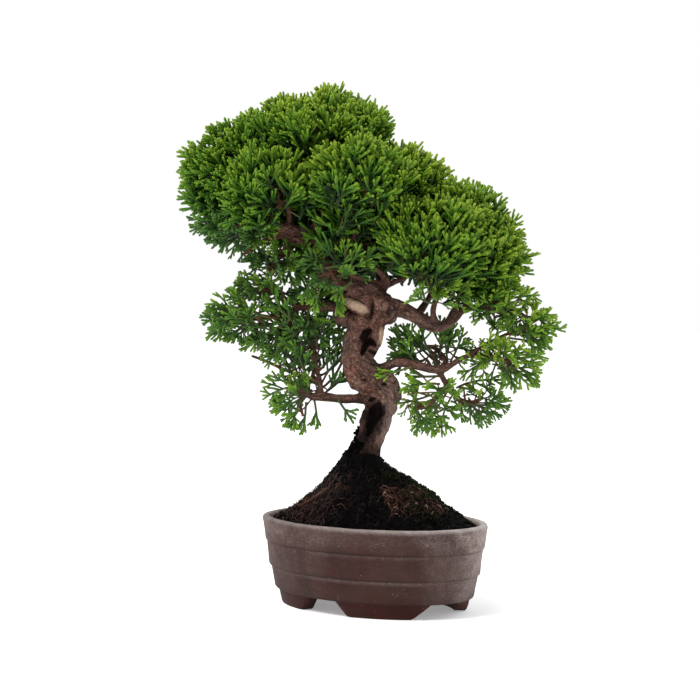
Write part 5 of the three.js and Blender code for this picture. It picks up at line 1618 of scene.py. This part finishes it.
def build_foliage():
    sets = spray_sets()
    g = np.random.default_rng(777)
    limbs = twig_points()
    spacing = {"crown": 9.4, "mid": 10.4, "fringe": 11.6, "loose": 13.0}
    sparse = {"foliage_back_top": 10.4, "foliage_back_right": 10.4, "foliage_back_left": 10.2, "foliage_right_mid": 23.0, "foliage_right_drop": 16.0, "foliage_right_hem": 15.0, "foliage_right_low": 13.8, "foliage_left_tuft": 12.6, "foliage_front_low": 15.0}
    twig_pieces = {"left": Build(), "right": Build(), "back": Build()}
    for index, (name, c, ax, r, look) in enumerate(PAD_LIST):
        sp = sparse.get(name, spacing[look])
        hangs = look in ("fringe", "loose")
        area = 4 * math.pi * (((r[0] * r[1]) ** 1.6 + (r[0] * r[2]) ** 1.6 + (r[1] * r[2]) ** 1.6) / 3) ** (1 / 1.6)
        n = int(area / sp**2)
        k = np.arange(n) + 0.5
        phi = np.arccos(1 - 2 * k / n)
        th = math.pi * (1 + 5**0.5) * k + index
        dirs = np.stack([np.cos(th) * np.sin(phi), np.sin(th) * np.sin(phi), np.cos(phi)], -1)
        dirs += (g.random(dirs.shape) - 0.5) * 0.28
        dirs /= np.linalg.norm(dirs, axis=1, keepdims=True)
        jobs = []
        # shoots stand in clumps with dark seams between them
        k_cl = max(4, n // 13)
        cl = dirs[g.choice(n, k_cl, replace=False)]
        cl_tone = (g.random(k_cl) - 0.5) * 0.24
        cl_rise = g.random(k_cl)
        cl_r = math.sqrt(4 / k_cl) * 1.05
        dist_c = np.linalg.norm((limbs - c) @ ax.T / r, axis=1)
        near_in = limbs[dist_c < 0.75]
        if len(near_in) < 3:
            near_in = limbs[np.argsort(dist_c)[:8]]
        for d in dirs:
            surf = c + ax.T @ (d * r)
            # cushions are uneven, never domes
            which = int(np.argmax(cl @ d))
            off = math.acos(float(np.clip(cl[which] @ d, -1, 1))) / cl_r
            swell = 0.12 * (fbm(surf[None, :] / 13.0, 211, 2)[0] - 0.5)
            nrm = ax.T @ (d / r)
            nrm /= np.linalg.norm(nrm)
            nrm_c = ax.T @ (cl[which] / r)
            nrm_c /= np.linalg.norm(nrm_c)
            bump = 2.6 - 5.2 * min(off, 1.2) ** 2 + 2.4 * (cl_rise[which] - 0.5)
            surf = c + (surf - c) * (1 + swell) + nrm * (bump if not hangs else 0.4 * bump)
            deep = inside_other(surf, index)
            if deep < 0.84:
                continue
            low = nrm[2] < -0.35
            if low and look == "crown" and g.random() < 0.25:
                continue
            if low and look != "crown" and g.random() < (0.45 if look == "mid" else 0.1):
                continue
            rise, lean = RISE[name]
            away = np.array([surf[0], surf[1], 0.0])
            away /= np.linalg.norm(away) + 1e-6
            out = nrm * 0.30 + nrm_c * 0.40 + np.array([0, 0, rise]) + away * lean * 0.6
            out = out + (g.random(3) - 0.5) * {"crown": 0.6, "mid": 0.7, "fringe": 0.8, "loose": 0.8}[look]
            out /= np.linalg.norm(out)
            tpl = sets[look][int(g.integers(len(sets[look])))]
            size = 0.86 + 0.26 * g.random()
            height = tpl.V[:, 2].max() * size
            tip = surf + nrm * (g.random() * 7.0 - 4.0)
            if hangs:
                # these hang on long bare twigs and spread from them
                o = near_in[int(g.integers(len(near_in)))]
                out = tip - o
                dist = np.linalg.norm(out)
                out = out / dist + np.array([0, 0, 0.25 * rise]) + (g.random(3) - 0.5) * 0.35
                out /= np.linalg.norm(out)
                if g.random() < 0.34:
                    tpl = sets["wisp"][int(np.argmin([abs(t_.V[:, 2].max() - dist) + 4 * g.random() for t_ in sets["wisp"]]))]
                    size = float(np.clip(dist / tpl.V[:, 2].max(), 0.7, 1.15))
                elif dist < 0.8 * height:
                    tpl = sets["fringe"][int(g.integers(len(sets["fringe"])))]
                    size = float(np.clip(dist / tpl.V[:, 2].max(), 0.62, 1.0))
                else:
                    size = float(np.clip(dist / height * size, 0.8, 1.1))
                height = tpl.V[:, 2].max() * size
            root_p = tip - out * height
            roll_b = g.random()
            if bare(tip, roll_b) or bare(tip - out * height * 0.4, roll_b) or bare(tip - out * height * 0.75, roll_b * 1.2):
                continue
            # painted light and shade: brighter where the light falls, bluer and darker underneath and in the loose
            # sprays
            painted_light = np.clip(0.35 + 0.35 * out[2] + 0.45 * d[2], 0, 1)
            tone = {"crown": 0.50, "mid": 0.56, "fringe": 0.54, "loose": 0.62}[look] - 0.36 * painted_light + 0.20 * (g.random() - 0.35) + cl_tone[which]
            if name in ("foliage_right_front", "foliage_right_upper", "foliage_right_outer", "foliage_right_shoulder"):
                tone -= 0.11
            # painted shade: darker where a spray sits just inside another cushion
            if deep < 0.95:
                tone += 0.08
            if hangs:
                tone += 0.07 if c[0] < 0 else (-0.06 if name == "foliage_right_mid" else -0.22)
            roll = facing(out) + 1.5 * (g.random() - 0.5) if hangs else g.random() * 6.28
            jobs.append((root_p, out, tpl, size, roll, float(np.clip(tone, 0.0, 0.76))))
            # a second, shorter spray deeper down fills the shade between the tips, its colour darkened as painted shade
            if not hangs and g.random() < 0.3:
                t2 = sets["mid"][int(g.integers(len(sets["mid"])))]
                o2 = out + (g.random(3) - 0.5) * 0.9
                o2 /= np.linalg.norm(o2)
                h2 = t2.V[:, 2].max() * 0.8
                tip2 = surf - nrm * (5.0 + 3.5 * g.random()) + (g.random(3) - 0.5) * 4
                jobs.append((tip2 - o2 * h2, o2, t2, 0.8, g.random() * 6.28, float(np.clip(tone + 0.24, 0, 0.78))))
        for u0, v0, y0, u1, v1, y1, tone in WISPS.get(name, ()):
            root_p, tip = place(u0, v0, y0), place(u1, v1, y1)
            out = tip - root_p
            reach = float(np.linalg.norm(out))
            out = out / reach
            pool = sets["mid"] if not hangs else (sets["wisp"] if g.random() < 0.62 or name == "foliage_front_low" else sets["fringe"] + sets["loose"])
            fit_ = np.array([abs(t_.V[:, 2].max() - reach) for t_ in pool]) + 3.0 * g.random(len(pool))
            tpl = pool[int(np.argmin(fit_))]
            size = float(np.clip(reach / tpl.V[:, 2].max(), 0.55, 1.25))
            jobs.append((root_p, out, tpl, size, facing(out) + 0.9 * (g.random() - 0.5), tone))
        if not jobs:
            continue
        heavy = sum(len(j_[2].T) for j_ in jobs) > 185000
        behind = [heavy and j_[0][1] > c[1] for j_ in jobs]
        for rear in ((False, True) if heavy else (False,)):
            vs, ts, ps, us, base = [], [], [], [], 0
            for (root_p, out, tpl, size, roll, tone), b_ in zip(jobs, behind):
                if b_ != rear:
                    continue
                R = orient(out, roll)
                W = (tpl.V * size) @ R.T + root_p
                vs.append(W)
                ts.append(tpl.T + base)
                ps.append(tpl.P + base)
                uv = tpl.UV.copy()
                uv[:, 1] += tone
                us.append(uv)
                base += len(W)
            V = turn(np.vstack(vs))
            label = name.replace("foliage", "sprays") + ("_rear" if rear else "")
            me = make_mesh(label, metres(V), None, np.vstack(ts), uv=np.vstack(us), others=[np.vstack(ps)])
            add_object(label, me, MAT["fan" if hangs else "leaf"], (name,))
        # twigs: each group of sprays hangs on a twig from the nearest limb
        hub_d = np.linalg.norm(limbs - c, axis=1)
        near = limbs[np.argsort(hub_d)[:24]]
        roots = np.array([j[0] for j in jobs])
        outs = np.array([j[1] for j in jobs])
        m = max(3, len(jobs) // 6)
        centres = roots[g.choice(len(roots), m, replace=False)]
        for _ in range(3):
            own = np.argmin(np.linalg.norm(roots[:, None] - centres[None], axis=2), axis=1)
            for q in range(m):
                if (own == q).any():
                    centres[q] = roots[own == q].mean(0)
        side = "back" if c[1] > 20 else ("left" if c[0] < 0 else "right")
        tb = twig_pieces[side]
        for q in range(m):
            idx = np.nonzero(own == q)[0]
            if not len(idx):
                continue
            fork = centres[q] * 0.72 + c * 0.28
            hub = near[np.argmin(np.linalg.norm(near - fork, axis=1) + 4 * g.random(len(near)))]
            mid = (hub + fork) / 2 + (g.random(3) - 0.5) * 3
            line = spline(np.array([hub, mid, fork]), 1.6)
            tb.tube(turn(line), np.linspace(0.8, 0.5, len(line)), 6, uv=(0.0, 0.45, g.random() * 0.9, 0.06), wobble=0.22)
            for i in idx:
                e = roots[i] + outs[i] * 1.5
                mid = fork * 0.5 + roots[i] * 0.5 + (g.random(3) - 0.5) * 1.2
                line = spline(np.array([fork, mid, e]), 2.0)
                tb.tube(turn(line), np.linspace(0.5, 0.46, len(line)), 5, uv=(0.35, 1.0, g.random() * 0.9, 0.06), wobble=0.15)
    for side, tb in twig_pieces.items():
        # the thin ends of the limbs themselves
        if side == "left":
            for name, cc in CENTRE.items():
                if name.startswith("r"):
                    continue
                thin = cc[cc[:, 3] < 1.35]
                if len(thin) > 3:
                    tb.tube(thin[:, :3], thin[:, 3] * 0.95, 7, uv=(0.0, 0.6, g.random() * 0.9, 0.06), wobble=0.2)
        me = tb.mesh("twigs_" + side)
        add_object("twigs_" + side, me, MAT["twig"])


# ------------------------------------------------------------------ stage, light, camera
def build_stage():
    s, n = 6.0, 40
    g = np.linspace(-s, s, n)
    X, Y = np.meshgrid(g, g, indexing="ij")
    v = np.stack([X.ravel(), Y.ravel(), np.zeros(n * n)], -1)
    i, j = np.meshgrid(np.arange(n - 1), np.arange(n - 1), indexing="ij")
    a = (i * n + j).ravel()
    q = np.stack([a, a + n, a + n + 1, a + 1], -1)
    me = make_mesh("studio_floor", v, q)
    ob = bpy.data.objects.new("studio_floor", me)
    bpy.context.scene.collection.objects.link(ob)
    ob.data.materials.append(MAT["floor"])

    # a white surround, darker towards the front of the tree
    w = bpy.data.worlds.new("studio")
    bpy.context.scene.world = w
    w.use_nodes = True
    t = w.node_tree
    bg = t.nodes["Background"]
    tc = t.nodes.new("ShaderNodeTexCoord")
    dot = t.nodes.new("ShaderNodeVectorMath")
    dot.operation = "DOT_PRODUCT"
    front = turn(np.array([0.0, -1.0, 0.0]))
    dot.inputs[1].default_value = tuple(front)
    t.links.new(tc.outputs["Generated"], dot.inputs[0])
    rp = t.nodes.new("ShaderNodeMapRange")
    rp.interpolation_type = "SMOOTHSTEP"
    rp.inputs["From Min"].default_value = -0.35
    rp.inputs["From Max"].default_value = 0.85
    rp.inputs["To Min"].default_value = 1.0
    rp.inputs["To Max"].default_value = 0.34
    t.links.new(dot.outputs["Value"], rp.inputs["Value"])
    t.links.new(rp.outputs[0], bg.inputs[1])
    bg.inputs[0].default_value = (1.0, 1.0, 1.0, 1.0)

    def area(name, where, energy, size, tint, target=(0, 0, 150)):
        li = bpy.data.lights.new(name, "AREA")
        li.shape = "RECTANGLE"
        li.size, li.size_y = size
        li.energy = energy
        li.color = tint
        lo_ = bpy.data.objects.new(name, li)
        bpy.context.scene.collection.objects.link(lo_)
        p = Vector(metres(turn(np.array(where, float))))
        t = Vector(metres(turn(np.array(target, float))))
        lo_.location = p
        lo_.rotation_euler = (t - p).to_track_quat("-Z", "Y").to_euler()

    area("key_top_left", (-520, -420, 1000), 12.0, (0.5, 0.5), (1.0, 0.97, 0.92))
    area("side_right", (820, 160, 420), 4.0, (0.5, 0.8), (0.94, 0.97, 1.0))


def build_camera():
    cam = bpy.data.cameras.new("camera")
    cam.sensor_width = 36.0
    cam.lens = FPX / 700 * 36.0
    cam.clip_start, cam.clip_end = 0.05, 30
    ob = bpy.data.objects.new("camera", cam)
    bpy.context.scene.collection.objects.link(ob)
    ob.location = Vector(metres(turn(np.array(EYE))))
    ob.rotation_euler = (math.pi / 2 - TILT, 0, TURN)
    bpy.context.scene.camera = ob


build_camera()
build_stage()
build_pot()
build_soil()
build_moss()
build_fibres()
build_trunk()
build_foliage()

for node, mat in (("drain_screen_left", "plastic"), ("drain_screen_right", "plastic"), ("screen_wire_left", "wire"), ("screen_wire_right", "wire")):
    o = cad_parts[node]
    o.data.materials.clear()
    o.data.materials.append(MAT[mat])

bpy.context.scene.view_settings.view_transform = "Standard"
bpy.context.scene.view_settings.look = "None"
